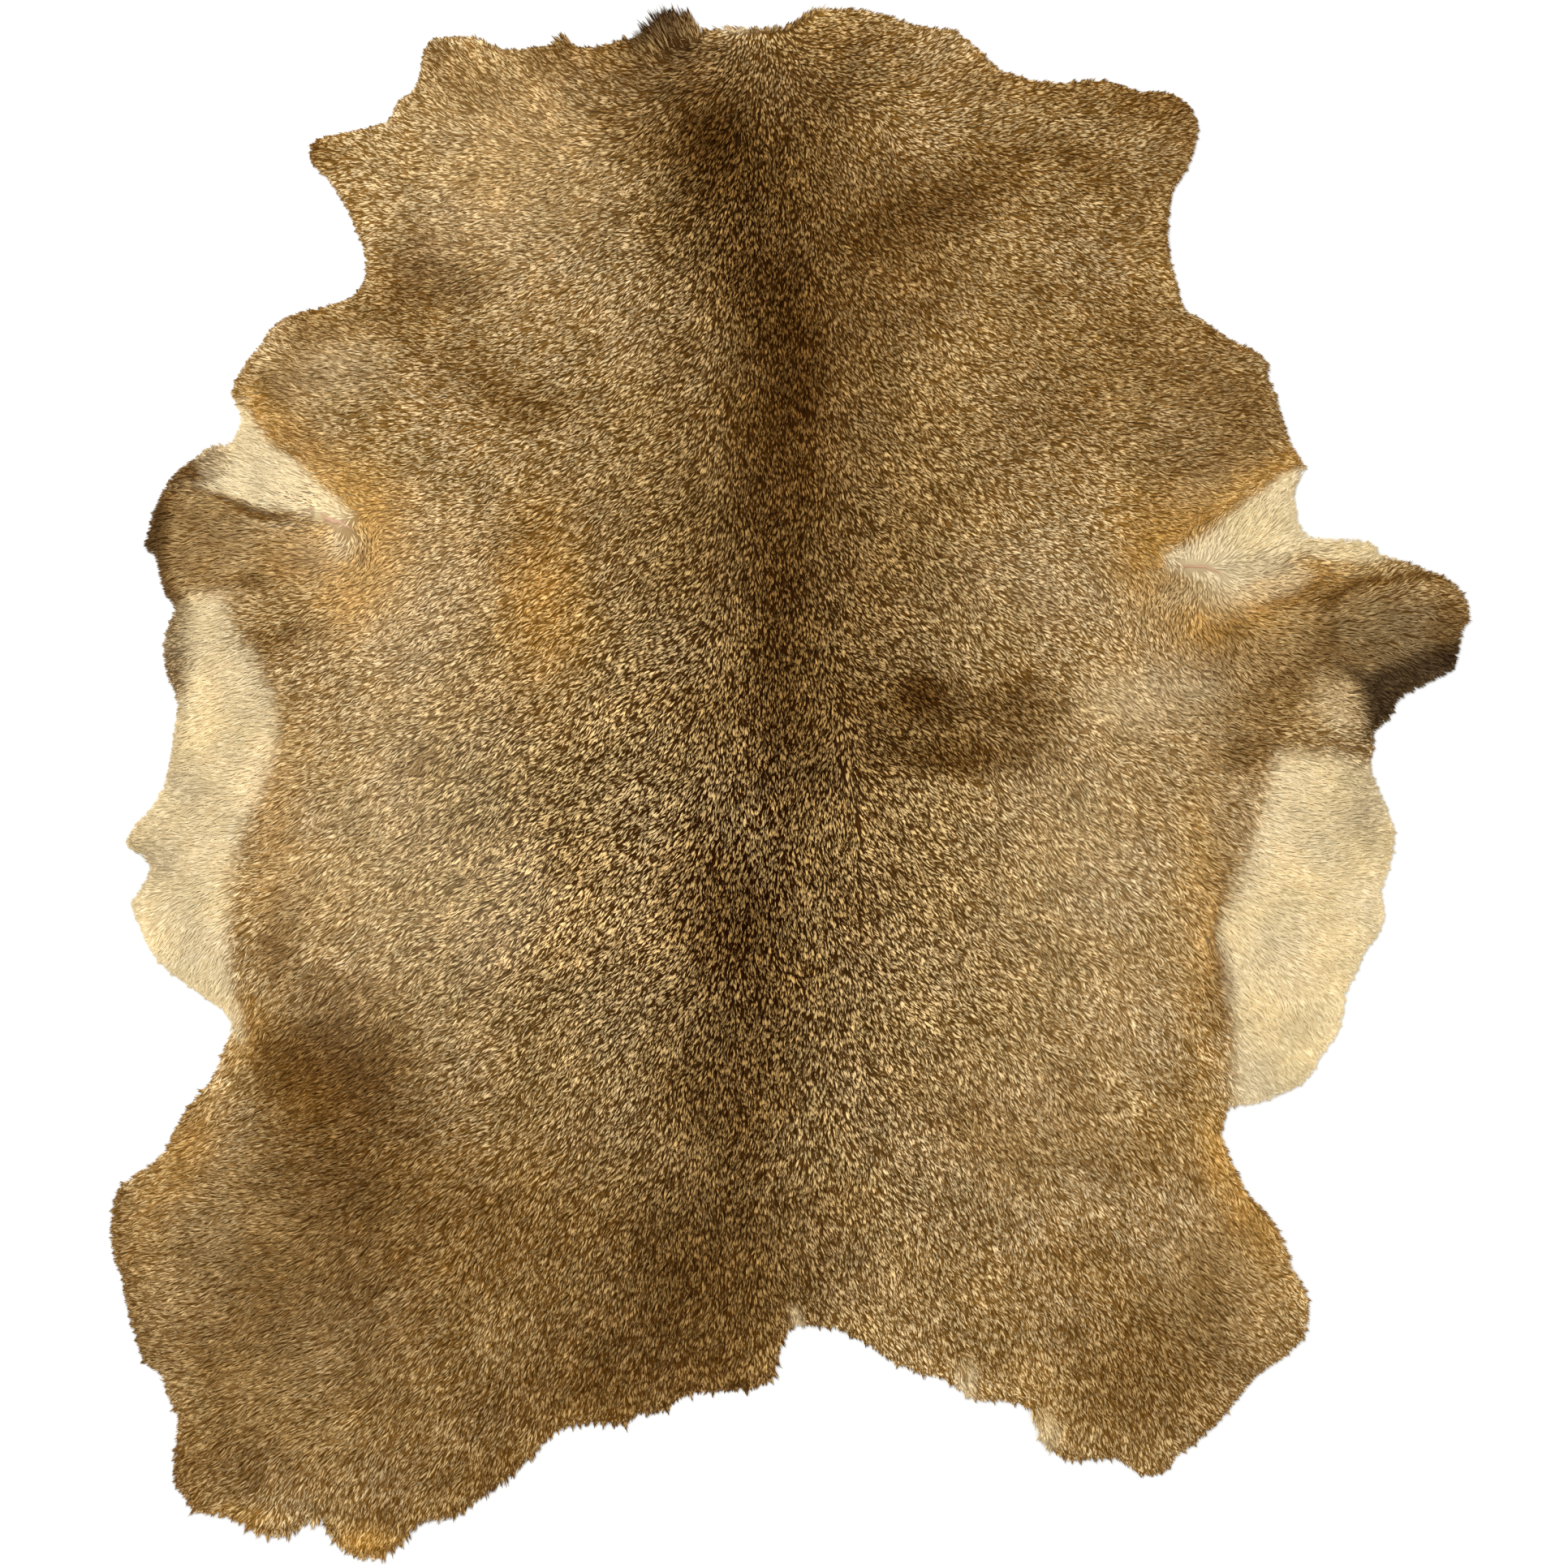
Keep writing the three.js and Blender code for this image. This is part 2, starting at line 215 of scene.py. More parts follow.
# Where each pigment lies, as soft ovals by region: (x, y, wide, high, amount, turn, soft), with a turn
# of 0 and a soft of 1 where they are left out. wide and high: half sizes. soft: the share of the
# half sizes over which the pigment fades. Overlapping amounts of up to 1 add up without passing 1,
# and what an amount has over 1 deepens the pigment further. Ticked and plain are where the pale
# bands stand out, and where they are faint. Pale is where all the hair is lighter.
PIGMENT = {
    "dark": {
        "neck, left": [
            (-62, 518, 56, 96, 1.25, 22), (-70, 450, 60, 80, 0.4), (-130, 585, 120, 64, 0.55),
            (-100, 606, 34, 26, 1.2, 0, 0.7), (-290, 402, 75, 52, 0.6), (-130, 527, 56, 44, 0.35),
            (-62, 548, 44, 28, 0.15), (-380, 505, 26, 40, 0.45), (-268, 565, 60, 36, 0.3),
            (-88, 348, 34, 36, 0.3), (-356, 462, 22, 44, 0.25), (-108, 500, 36, 36, 0.22),
            (-280, 430, 36, 26, 0.2), (-192, 586, 54, 30, 0.25), (-388, 502, 20, 26, 0.25),
        ],
        "neck, right": [
            (-5, 515, 75, 80, 0.6), (-15, 405, 70, 115, 0.85, 8), (62, 440, 140, 120, 0.6, 15),
            (146, 475, 130, 38, 0.62, 28), (240, 562, 130, 44, 0.4), (318, 515, 50, 95, 0.42),
            (20, 575, 190, 70, 0.38), (42, 372, 60, 50, 0.3), (280, 470, 56, 60, 0.28),
            (290, 545, 66, 30, 0.6), (105, 385, 60, 42, 0.22), (238, 492, 46, 36, 0.55),
            (142, 562, 50, 30, 0.3), (304, 432, 16, 42, 0.45), (200, 460, 50, 34, 0.25),
            (262, 526, 36, 26, 0.3), (52, 598, 60, 20, 0.25), (152, 522, 44, 34, 0.2),
            (322, 545, 26, 20, 0.25), (18, 549, 60, 40, 0.15),
        ],
        "left shoulder": [
            (-262, 332, 125, 40, 0.34, -30), (-484, 196, 62, 60, 0.3, 0, 0.8),
            (-338, 183, 6, 20, 0.4, -25), (-436, 162, 44, 10, 0.5, -8), (-402, 112, 52, 24, 0.45, 8),
            (-390, 386, 34, 50, 0.4), (-216, 308, 56, 26, 0.35), (-338, 372, 46, 26, 0.35),
            (-412, 320, 34, 34, 0.35), (-170, 298, 100, 26, 0.2), (-228, 184, 50, 36, 0.3),
            (-486, 250, 30, 26, 0.9), (-385, 362, 40, 26, 0.2), (-396, 178, 50, 26, 0.3),
            (-392, 276, 50, 24, 0.22, -36), (-288, 200, 40, 34, 0.14),
        ],
        "right shoulder": [
            (186, 66, 40, 32, 0.45, 12), (250, 330, 200, 180, 0.3), (365, 300, 100, 56, 0.42, -40),
            (482, 122, 70, 56, 0.12, 0, 0.7), (530, 128, 26, 50, 0.6, 0, 0.8),
            (400, 80, 46, 62, 0.48, -20), (340, 262, 50, 30, 0.2, -30), (428, 116, 24, 50, 0.38),
            (342, 360, 38, 24, 0.42, -40), (352, 104, 44, 44, 0.3), (322, 246, 56, 22, 0.22, 34),
            (404, 150, 64, 24, 0.4, 8), (366, 52, 44, 30, 0.2), (476, 156, 66, 30, 0.22, -8),
            (446, 92, 34, 30, 0.25), (206, 142, 44, 34, 0.12),
        ],
        "back": [
            (-13, 225, 52, 350, 0.84, 2), (0, 215, 172, 400, 0.55), (120, 190, 120, 190, 0.1),
            (45, 28, 100, 90, 0.22), (132, 50, 112, 46, 0.5, -4), (104, 66, 34, 30, 1.3),
            (120, 20, 42, 24, 0.3), (140, 20, 104, 24, 0.7), (50, 325, 62, 95, 0.4),
            (6, 325, 40, 125, 1.3, 2), (-170, 190, 100, 84, 0.2), (-8, 335, 44, 60, 0.14),
            (60, 26, 44, 26, 0.22),
        ],
        "left flank": [
            (-366, -232, 104, 84, 0.78, -8), (-360, -168, 70, 30, 0.3, -6),
            (-410, -128, 26, 44, 0.4, 10), (-288, 14, 44, 24, 0.25), (-400, -92, 34, 30, 0.25),
            (-278, -272, 36, 40, 0.16), (-182, -70, 40, 26, 0.16), (-334, -168, 50, 30, 0.2),
            (-438, -190, 26, 18, 0.3),
        ],
        "loin": [
            (-42, -120, 62, 130, 0.65, 24), (0, -150, 130, 200, 0.25), (-50, -250, 85, 125, 0.55),
            (115, -258, 70, 40, 0.22), (58, -105, 28, 34, 0.25),
        ],
        "right flank": [
            (212, 54, 44, 26, 0.08), (372, 24, 60, 32, 0.55), (352, -140, 24, 90, 0.62),
            (320, -248, 44, 26, 0.25), (225, -245, 50, 46, 0.24), (366, -186, 20, 40, 0.3),
            (352, -118, 22, 30, 0.2),
        ],
        "left haunch": [
            (-350, -300, 95, 130, 0.55, 20), (-330, -400, 280, 250, 0.43), (-455, -545, 120, 70, 0.45),
            (-260, -510, 150, 84, 0.25, 10), (-250, -320, 70, 50, 0.04), (-536, -400, 34, 90, 0.4),
            (-495, -555, 46, 50, 0.45), (-245, -562, 70, 34, 0.45, 10), (-322, -588, 70, 20, 0.35),
            (-410, -420, 84, 62, 0.12), (-465, -468, 56, 64, 0.32), (-372, -312, 40, 34, 0.2),
            (-482, -268, 26, 34, 0.3), (-420, -430, 46, 70, 0.18), (-240, -548, 56, 30, 0.3, 20),
            (-544, -345, 24, 64, 0.3), (-516, -455, 26, 50, 0.3), (-242, -350, 80, 60, 0.14),
        ],
        "rump": [
            (-75, -400, 165, 140, 0.75), (-120, -480, 175, 66, 0.7, 8), (-160, -300, 120, 160, 0.04),
            (-182, -440, 60, 50, 0.2), (42, -330, 44, 44, 0.2), (-112, -412, 70, 60, 0.12),
        ],
        "right haunch": [
            (300, -470, 160, 110, 0.5), (268, -290, 52, 42, 0.25), (336, -392, 36, 60, 0.3),
            (385, -400, 30, 60, 0.2), (352, -330, 44, 50, 0.15), (232, -378, 46, 46, 0.32),
            (160, -286, 70, 44, 0.28), (300, -305, 56, 44, 0.26), (366, -366, 34, 44, 0.28),
            (150, -458, 60, 26, 0.22, -14),
        ],
    },
    "warm": {
        "neck, left": [(-229, 504, 80, 90, 0.3)],
        "left shoulder": [
            (-197, 147, 60, 140, 0.5), (-342, 205, 58, 88, 0.88), (-395, 178, 70, 44, 0.6),
            (-348, 140, 56, 44, 0.6, 10), (-450, 290, 40, 26, 0.25),
        ],
        "right shoulder": [
            (290, 190, 52, 75, 0.8), (345, 244, 84, 30, 0.45, 32), (352, 132, 82, 50, 0.8, 8),
            (402, 160, 88, 30, 0.6, 8),
        ],
        "left flank": [(-410, -22, 34, 190, 0.4), (-437, -200, 40, 50, 0.6), (-372, -237, 74, 64, 0.4)],
        "right flank": [(332, -120, 34, 190, 0.55)],
        "left haunch": [
            (-489, -302, 42, 90, 0.6, -30), (-450, -594, 64, 22, 0.85), (-337, -612, 54, 22, 0.85),
            (-242, -347, 120, 90, 0.2),
        ],
        "right haunch": [(342, -290, 40, 50, 0.7), (368, -341, 40, 100, 0.7, 25)],
    },
    "cream": {
        "neck, left": [(-228, 480, 125, 140, 0.2), (-35, 605, 38, 5, 0.55, 0, 0.8)],
        "left shoulder": [
            (-356, 194, 26, 20, 0.62), (-320, 160, 120, 120, 0.2), (-365, 330, 60, 40, 0.15),
            (-380, 186, 48, 24, 0.16), (-372, 262, 66, 30, 0.1, -36),
        ],
        "right shoulder": [
            (436, 60, 26, 36, 0.38, 20), (267, 66, 62, 44, 0.42), (230, 155, 150, 60, 0.1, -6),
            (338, 148, 54, 24, 0.5), (315, 72, 46, 46, 0.28), (340, 238, 70, 26, 0.12, 34),
        ],
        "left flank": [(-320, -40, 150, 250, 0.2), (-240, -95, 70, 90, 0.1)],
        "right flank": [(260, -90, 130, 220, 0.12), (235, -35, 70, 110, 0.09)],
        "rump": [(4, -428, 9, 20, 0.5, 0, 0.8)],
        "right haunch": [(141, -474, 12, 28, 0.6, 20, 0.8), (206, -515, 16, 26, 0.6, 20, 0.8)],
    },
    "black": {
        "neck, left": [(-103, 597, 50, 38, 0.86, 0, 0.9)],
        "right shoulder": [
            (486, 118, 70, 56, 0.38, 0, 0.8), (478, 58, 30, 34, 0.75), (536, 104, 30, 22, 0.75),
        ],
    },
    "brown": {
        "neck, left": [(-50, 570, 170, 50, 0.18)],
        "left shoulder": [
            (-496, 98, 26, 40, 0.85, 0, 0.8), (-468, 258, 24, 17, 0.5), (-352, 196, 20, 15, 0.12),
            # (-392, 209) is a painted shadow line along the crease under the left armpit's ridge.
            (-392, 209, 28, 6, 0.45, -16), (-498, 128, 16, 24, 0.95), (-490, 82, 17, 46, 0.95),
            (-492, 132, 16, 16, 0.4), (-484, 238, 22, 14, 0.6), (-488, 140, 22, 14, 0.6),
        ],
        "right shoulder": [(345, 172, 56, 14, 0.3), (388, 178, 38, 9, 0.5, 10)],
        "left flank": [(-515, -60, 44, 60, 0.42), (-496, 50, 26, 84, 0.5), (-478, -15, 40, 44, 0.25)],
        "right flank": [(460, -22, 32, 62, 0.45), (455, 30, 36, 26, 0.6), (380, -242, 52, 32, 0.14)],
    },
    "pale": {
        "neck, left": [(-228, 480, 125, 140, 0.08), (-70, 396, 44, 40, 0.2)],
        "neck, right": [(264, 392, 22, 44, 0.12)],
        "left shoulder": [(-320, 160, 120, 120, 0.15), (-220, 150, 115, 160, 0.13)],
        "right shoulder": [(235, 60, 140, 180, 0.05), (306, 328, 30, 24, 0.12)],
        "back": [
            (-140, 52, 110, 34, 0.22), (-44, 64, 36, 30, 0.28), (60, 66, 26, 22, 0.15),
            (-150, 132, 24, 40, 0.12),
        ],
        "left flank": [
            (-320, -40, 150, 250, 0.05), (-240, -95, 70, 90, 0.18), (-250, 60, 60, 30, 0.18),
            (-200, -140, 60, 44, 0.26),
        ],
        "loin": [(-160, -95, 120, 80, 0.3), (-90, -58, 56, 30, 0.34), (-60, -132, 44, 34, 0.14)],
        "right flank": [(432, -205, 30, 44, 0.06, 30)],
        "rump": [(-200, -325, 26, 56, 0.14)],
    },
    "plain": {
        "left shoulder": [
            (-470, 190, 90, 85, 0.75, 0, 0.8), (-370, 190, 90, 80, 0.6), (-380, 330, 90, 70, 0.5),
        ],
        "right shoulder": [
            (470, 115, 110, 85, 0.75, 0, 0.8), (340, 170, 110, 90, 0.65), (350, 118, 110, 70, 0.6),
            (360, 50, 120, 110, 0.4), (330, 290, 110, 90, 0.3),
        ],
        "left flank": [(-410, -50, 50, 200, 0.35)],
        "right flank": [(350, -60, 50, 170, 0.35)],
        "left haunch": [(-430, -400, 190, 260, 0.55)],
        "right haunch": [(350, -380, 90, 140, 0.45), (190, -280, 120, 110, 0.3)],
    },
    "ticked": {
        "neck, left": [(-40, 450, 130, 190, 0.75)],
        "left flank": [(-205, -60, 200, 260, 0.6)],
        "loin": [(-30, -60, 330, 640, 1.0)],
    },
}

# Where a pigment has a clear border. soft: half the width over which it fades.
PATCHES = {
    "dark": [
        # name, soft, amount, outline
        ("left foreleg, rim", 6, 0.75, [
            (-530, 240), (-500, 250), (-492, 238), (-497, 210), (-500, 180), (-494, 160), (-487, 142),
            (-500, 136), (-540, 180),
        ]),
        ("left foreleg, top", 4, 0.75, [
            (-495, 268), (-470, 262), (-458, 246), (-478, 241), (-500, 238), (-510, 246),
        ]),
        # Painted shadow: a thin dark line along the crease under the cream fold of the left armpit.
        ("left foreleg, painted crease shadow", 2.5, 0.7, [
            (-480, 239), (-455, 233), (-440, 226), (-418, 219), (-400, 216), (-402, 212), (-424, 211),
            (-445, 218), (-460, 228),
        ]),
        ("right foreleg, fold", 3, 0.8, [
            (428, 138), (448, 152), (464, 161), (500, 163), (532, 161), (534, 166), (500, 168),
            (462, 167), (444, 158), (424, 146),
        ]),
        ("left haunch, top edge", 9, 0.4, [
            (-428, -198), (-395, -189), (-350, -187), (-312, -200), (-300, -222), (-330, -258),
            (-395, -262), (-426, -236),
        ]),
    ],
    "black": [
        ("right foreleg, lower edge", 8, 0.93, [
            (436, 96), (452, 82), (460, 66), (462, 52), (458, 36), (490, 36), (512, 58), (532, 70),
            (560, 90), (556, 120), (530, 113), (508, 106), (486, 97), (466, 88), (450, 92),
        ]),
        ("left foreleg, rim", 7, 0.62, [
            (-540, 236), (-506, 244), (-498, 210), (-503, 180), (-497, 158), (-487, 140), (-500, 130),
            (-545, 170),
        ]),
    ],
    "warm": [
        ("left armpit, border", 12, 0.62, [
            (-446, 312), (-425, 284), (-412, 266), (-396, 257), (-375, 234), (-350, 216), (-342, 200),
            (-346, 180), (-372, 160), (-380, 140), (-352, 128), (-330, 150), (-316, 185), (-318, 215),
            (-338, 242), (-362, 262), (-388, 284), (-410, 304), (-430, 322),
        ]),
        ("right armpit, border", 10, 0.7, [
            (296, 178), (306, 192), (326, 198), (342, 206), (352, 215), (364, 226), (378, 234),
            (388, 242), (402, 250), (416, 258), (408, 268), (388, 262), (366, 252), (344, 240),
            (322, 228), (302, 216), (284, 198), (280, 176),
        ]),
    ],
    "cream": [
        ("left armpit", 4.5, 1.0, [
            (-441, 308), (-427, 286), (-414, 268), (-398, 259), (-385, 246), (-376, 236), (-364, 228),
            (-352, 218), (-345, 208), (-353, 203), (-372, 209), (-385, 212), (-400, 220), (-420, 221),
            (-440, 227), (-455, 234), (-478, 240), (-462, 246), (-450, 258), (-446, 275), (-452, 300),
        ]),
        ("left armpit, rim", 4, 0.5, [
            (-446, 275), (-450, 258), (-462, 247), (-472, 246), (-476, 264), (-468, 285), (-450, 288),
        ]),
        ("left belly", 9, 1.0, [
            (-494, 136), (-478, 150), (-456, 152), (-444, 122), (-428, 98), (-415, 75), (-411, 40),
            (-415, 15), (-423, -8), (-436, -30), (-445, -60), (-450, -95), (-450, -140), (-444, -172),
            (-436, -205), (-560, -160), (-560, 40), (-500, 80), (-520, 110),
        ]),
        ("right armpit", 5, 1.0, [
            (418, 256), (400, 247), (385, 238), (376, 230), (362, 223), (350, 212), (340, 203),
            (325, 195), (308, 189), (300, 181), (305, 170), (318, 163), (336, 158), (356, 156),
            (372, 164), (392, 172), (404, 182), (416, 196), (407, 215), (404, 235),
        ]),
        ("below the right armpit", 7, 0.5, [
            (336, 158), (345, 146), (370, 146), (400, 152), (420, 166), (404, 180), (372, 166),
        ]),
        ("right foreleg, rim", 3.5, 0.85, [
            (398, 196), (410, 186), (425, 181), (450, 178), (472, 181), (484, 183), (470, 202),
            (412, 206),
        ]),
        ("right belly", 9, 1.0, [
            (392, 24), (440, 21), (478, 12), (520, -40), (500, -150), (440, -270), (356, -268),
            (356, -190), (350, -150), (344, -115), (353, -92), (364, -62), (375, -28), (384, 2),
        ]),
    ],
}

# Soft random waves. cell: their size. salt: makes each its own.
EDGE_DRIFT = [(26, (1, 2), 6), (9, (3, 4), 2.5)]  # cell, salts, size: how uneven a pigment's edge is
PATCH_DRIFT = 0.4  # as a share of that, for the patches
MOTTLE = [(85, 5, 0.06), (34, 6, 0.07), (15, 7, 0.06)]  # cell, salt, share of dark: cloudiness
MOST_DARK = 2.4  # the deepest that dark comes to
HEADING_DRIFT = [(42, 9, 11), (11, 14, 12), (5, 8, 13)]  # cell, degrees, salt: waves of the lying hair
CLUMPS = [(9, 8, 0.07), (5, 9, 0.08)]  # cell, salt, share: clumps of lighter and darker locks

# How single locks differ. Pairs are the least and the most, as shares of what the place asks.
STRAY = 12  # degrees
LOCK_CONTRAST = 0.1  # how much lighter or darker
CREAM_CONTRAST, DARK_CONTRAST = -0.6, 0.8  # what is added to this contrast where the hair is so
LENGTHS = (0.75, 1.2)
WIDTHS = (0.75, 1.25)
REACHES = (0.3, 1.15)
TIP_HEIGHTS = (0.84, 1.0)
TONE_LIFT = 0.6  # how much higher the tips of tone 1 lie than those of tone 0
LEAST_LENGTH = 0.15  # where a lock is shortened at the rim
RIM_FALL = 0.6  # how fast the tips sink past the cut edge
LEAST_TIP = 0.7
COLOUR_AT, CLUMP_AT = 0.7, 0.5  # where along a lock its pigments and its clumps are read
ROOT_INSET = 0.4  # least depth of a root inside the cut edge
ROOT_HEIGHT = (1.2, 0.3)  # over the floor, and as a share of the coat's height over that

# The shape of a lock.
WAIST = 0.55  # how far along it is widest
LOCK_CAMBER = 0.32  # how far its sides fall below its ridge, in widths
LEAST_HEIGHT = 0.25  # of its sides over the floor

# The locks at the rim, gathered into pointed tufts.
TUFT_WIDTHS = (0.6, 1.5)
TUFT_FULLNESS = (0.55, 1.6)
RIM_DEPTHS = (0.5, 7)  # of the roots inside the cut edge
RIM_WIDTHS = (0.6, 1.0)
RIM_REACHES = (0.7, 1.1)
RIM_ROOTS = (2.1, 3.5)  # heights over the floor
RIM_TIPS = (0.8, 2.6)
RIM_OUTWARD, RIM_STRAY = 1.3, 0.12  # beside a weight of 1 for the way of the coat
RIM_MIDDLE, RIM_SIDES = 1.25, 0.85  # reach at the middle of a tuft, and how much less at its sides
RIM_PULL = 0.6  # how far the tips draw to the middle of their tuft
RIM_LEAST_SLANT = 0.55
RIM_LONGEST = 20
# Painted shade along the rim: its locks get more dark and brown pigment.
RIM_PAINTED_SHADE = {"dark": (0.42, MOST_DARK), "brown": (0.14, 1)}  # added share, and the most it comes to

# Bare skin that shows between the hair of the armpits. path: (x, y) along the fold.
BARE_FOLDS = {
    "left_armpit": {"path": [(-377, 216), (-364, 210), (-350, 204)], "width": 5.5, "rise": 1.6},
    "right_armpit": {"path": [(304, 174), (326, 174), (341, 170), (348, 164)], "width": 2.2, "rise": 0.3},
}
FOLD_STEPS = (36, 10)  # along and across a bare fold
FOLD_BARE = (0.35, 0.75)  # how far to its sides no hair grows, in widths
FOLD_THICKNESS = 1.2
FOLD_STEP = 2  # along the path to each side, to tell its way
FOLD_RIPPLES = [(0.6, 9, 2), (0.4, 23, 0)]  # size, turn in radians over its length, turn at its start
FOLD_LEVEL = 0.72  # in heights of the coat
FOLD_SIDE_DROP, FOLD_END_DROP = 1.6, 1.5

# The wool under the coat.
UNDERFUR_DRAWN_IN = 0.998  # so that its wall lies inside the skin's
UNDERFUR_STEEP = 0.2  # it leaves out the solid's faces whose normals point up less than this
UNDERFUR_LEAST = 3.3  # and those with a corner lower than this
UNDERFUR_BASE = 0.9  # height of its underside, inside the skin
UNDERFUR_DROP = 1.8  # how far it is sunk, so that the rim's guard hair covers it

# Tufts that stand out from the rim. heading and length: of the hair. spread: across the root.
TUFTS = [
    # name, x, y, heading, length, spread, count
    ("crest", -98, 595, 122, 30, 48, 560),
    ("crest, outer", -182, 592, 135, 13, 10, 80),
    ("pale tuft by the tail", 138, -464, 291, 27, 7, 90),
    ("grey tuft by the tail", 203, -504, 292, 26, 14, 130),
    ("beside the hind leg", -380, -585, 262, 16, 8, 50),
]
TUFT_FAN, TUFT_STRAY = 14, 7  # degrees to each side, and for single locks
TUFT_ROOTS = (-0.6, 0.1)  # along the heading, in lengths
TUFT_LENGTHS = (0.6, 1.05)
TUFT_SIDES = 0.45  # how much shorter the hair is there
TUFT_LOCKS = (0.9, 1.5)  # widths
TUFT_ROOT_HEIGHT = 0.75  # in heights of the coat
TUFT_TIPS = (0.45, 1.05)  # likewise

# The pigments that tint the hair, each over those before it.
PIGMENT_ORDER = ("ticked", "warm", "dark", "black", "cream", "brown")

# The coat is made as one piece for each part of the animal, around these middles.
COAT_PIECES = [
    # name, x, y
    ("coat_neck_left", -200, 480),
    ("coat_neck_right", 160, 470),
    ("coat_shoulder_left", -340, 230),
    ("coat_shoulder_right", 320, 220),
    ("coat_back", -10, 160),
    ("coat_flank_left", -330, -110),
    ("coat_loin", -20, -130),
    ("coat_flank_right", 300, -120),
    ("coat_haunch_left", -370, -430),
    ("coat_rump", -60, -390),
    ("coat_haunch_right", 280, -420),
]


def srgb(code):
    """A colour code such as #8f6f3f as linear red, green and blue."""
    values = [int(code[i : i + 2], 16) / 255 for i in (1, 3, 5)]
    return tuple(v / 12.92 if v <= 0.04045 else ((v + 0.055) / 1.055) ** 2.4 for v in values)


def length_setting(name, description, millimetres):
    """A length that the user can change."""
    return FloatProperty(
        name=name, description=description, default=millimetres * MM, min=0, unit="LENGTH", precision=4
    )


def colour_setting(name, description, code):
    """A colour that the user can change."""
    return FloatVectorProperty(
        name=name, description=description, default=srgb(code), size=3, min=0, max=1, subtype="COLOR"
    )


class HideSizes(PropertyGroup):
    """Sizes of the skin and its coat."""

    skin: length_setting("Skin", "Thickness of the tanned skin", 1.5)
    locks: IntProperty(name="Locks", description="Locks of hair over the body", default=226000)
    rim_pitch: length_setting("Rim pitch", "Spacing of the locks along the cut edge", 0.55)
    tuft: length_setting("Tuft", "Width of a pointed tuft of the rim", 7)
    underfur: FloatProperty(
        name="Underfur", description="Height of the underfur as a share of the coat's", default=0.55
    )


class HideColours(PropertyGroup):
    """Colours of the hair and the skin."""

    ground: colour_setting("Ground", "Hair between the pale bands", "#926b31")
    band: colour_setting("Band", "Pale band of a hair", "#ffe5b2")
    ticked_ground: colour_setting("Ticked ground", "As Ground, on the back", "#3a1b02")
    ticked_band: colour_setting("Ticked band", "As Band, on the back", "#ffdc9a")
    dark_tint: colour_setting("Dark tint", "Darkens the hair, in the eel stripe", "#978160")
    warm_ground: colour_setting("Warm ground", "As Ground, by the armpits and rims", "#ac7a2c")
    warm_band: colour_setting("Warm band", "As Band, by the armpits and rims", "#f3c673")
    black_ground: colour_setting("Black ground", "As Ground, on the crest and forelegs", "#22150a")
    black_band: colour_setting("Black band", "As Band, on the crest and forelegs", "#5f482e")
    cream_ground: colour_setting("Cream ground", "As Ground, on the belly", "#e3cda0")
    cream_band: colour_setting("Cream band", "As Band, on the belly", "#f9e8c0")
    brown_ground: colour_setting("Brown ground", "As Ground, in the streaks of the belly", "#644827")
    brown_band: colour_setting("Brown band", "As Band, in the streaks of the belly", "#ccb183")
    skin: colour_setting("Skin", "Bare grain side", "#dcb698")
    suede: colour_setting("Suede", "Flesh side", "#cdb594")


class HideStage(PropertyGroup):
    """Floor, light and camera."""

    key: FloatProperty(name="Key light", description="Power", default=70, min=0, unit="POWER")
    sky: FloatProperty(name="Sky", description="Strength of the even light", default=0.85, min=0)
    floor: colour_setting("Floor", "Colour of the floor", "#f6f6f4")
    height: length_setting("Camera height", "Camera over the floor", 3000)
    view: length_setting("View", "Width of floor in the picture", 1255.8)
    aim: FloatVectorProperty(
        name="Aim", description="Middle of the view", default=(-0.0046, -0.0003), size=2, unit="LENGTH"
    )


def headings(degrees):
    """Unit vectors for headings in degrees."""
    turn = np.radians(degrees)
    return np.stack([np.cos(turn), np.sin(turn)], axis=-1)


def turned(ways, degrees):
    """Ways turned to the left."""
    cos, sin = headings(degrees).T
    return np.stack([ways[:, 0] * cos - ways[:, 1] * sin, ways[:, 0] * sin + ways[:, 1] * cos], -1)


def unit(vectors):
    return vectors / np.maximum(np.linalg.norm(vectors, axis=-1, keepdims=True), 1e-9)


def smooth(value, low, high):
    """0 below low, 1 above high, and a smooth rise between."""
    share = np.clip((value - low) / (high - low), 0, 1)
    return share * share * (3 - 2 * share)


def batches(points, size):
    """The numbers of the points, in batches small enough to work on at once."""
    return np.array_split(np.arange(len(points)), max(1, len(points) // size))


def nearby(points, places, values, power):
    """Values known at some places, blended at each point by how near it is to each place."""
    blended = np.empty((len(points),) + values.shape[1:])
    for part in batches(points, 20000):
        gap = np.linalg.norm(points[part, None, :] - places[None, :, :], axis=-1)
        weight = 1 / (gap + NEARBY_SOFTNESS) ** power
        blended[part] = weight @ values / weight.sum(axis=1, keepdims=True)
    return blended


def on_grid(values, spots, ease=False):
    """Values of a grid, blended at spots that are counted in its cells."""
    corner = np.clip(np.floor(spots).astype(int), 0, np.array(values.shape) - 2)
    share = np.clip(spots - corner, 0, 1)
    if ease:
        share = smooth(share, 0, 1)
    x, y = corner.T
    near = values[x, y] * (1 - share[:, 0]) + values[x + 1, y] * share[:, 0]
    far = values[x, y + 1] * (1 - share[:, 0]) + values[x + 1, y + 1] * share[:, 0]
    return near * (1 - share[:, 1]) + far * share[:, 1]


def waves(points, cell, salt):
    """Soft random bumps from -1 to 1, about one for each cell."""
    random = np.random.default_rng(SEED + salt)
    size = 2 + int(WAVES_SPAN / cell)
    values = random.uniform(-1, 1, (size, size))
    return on_grid(values, (points + WAVES_SPAN / 2) / cell, ease=True)


def area_within(ring):
    """The area inside a ring, negative where it runs clockwise."""
    after = np.roll(ring, -1, axis=0)
    return 0.5 * np.sum(ring[:, 0] * after[:, 1] - ring[:, 1] * after[:, 0])


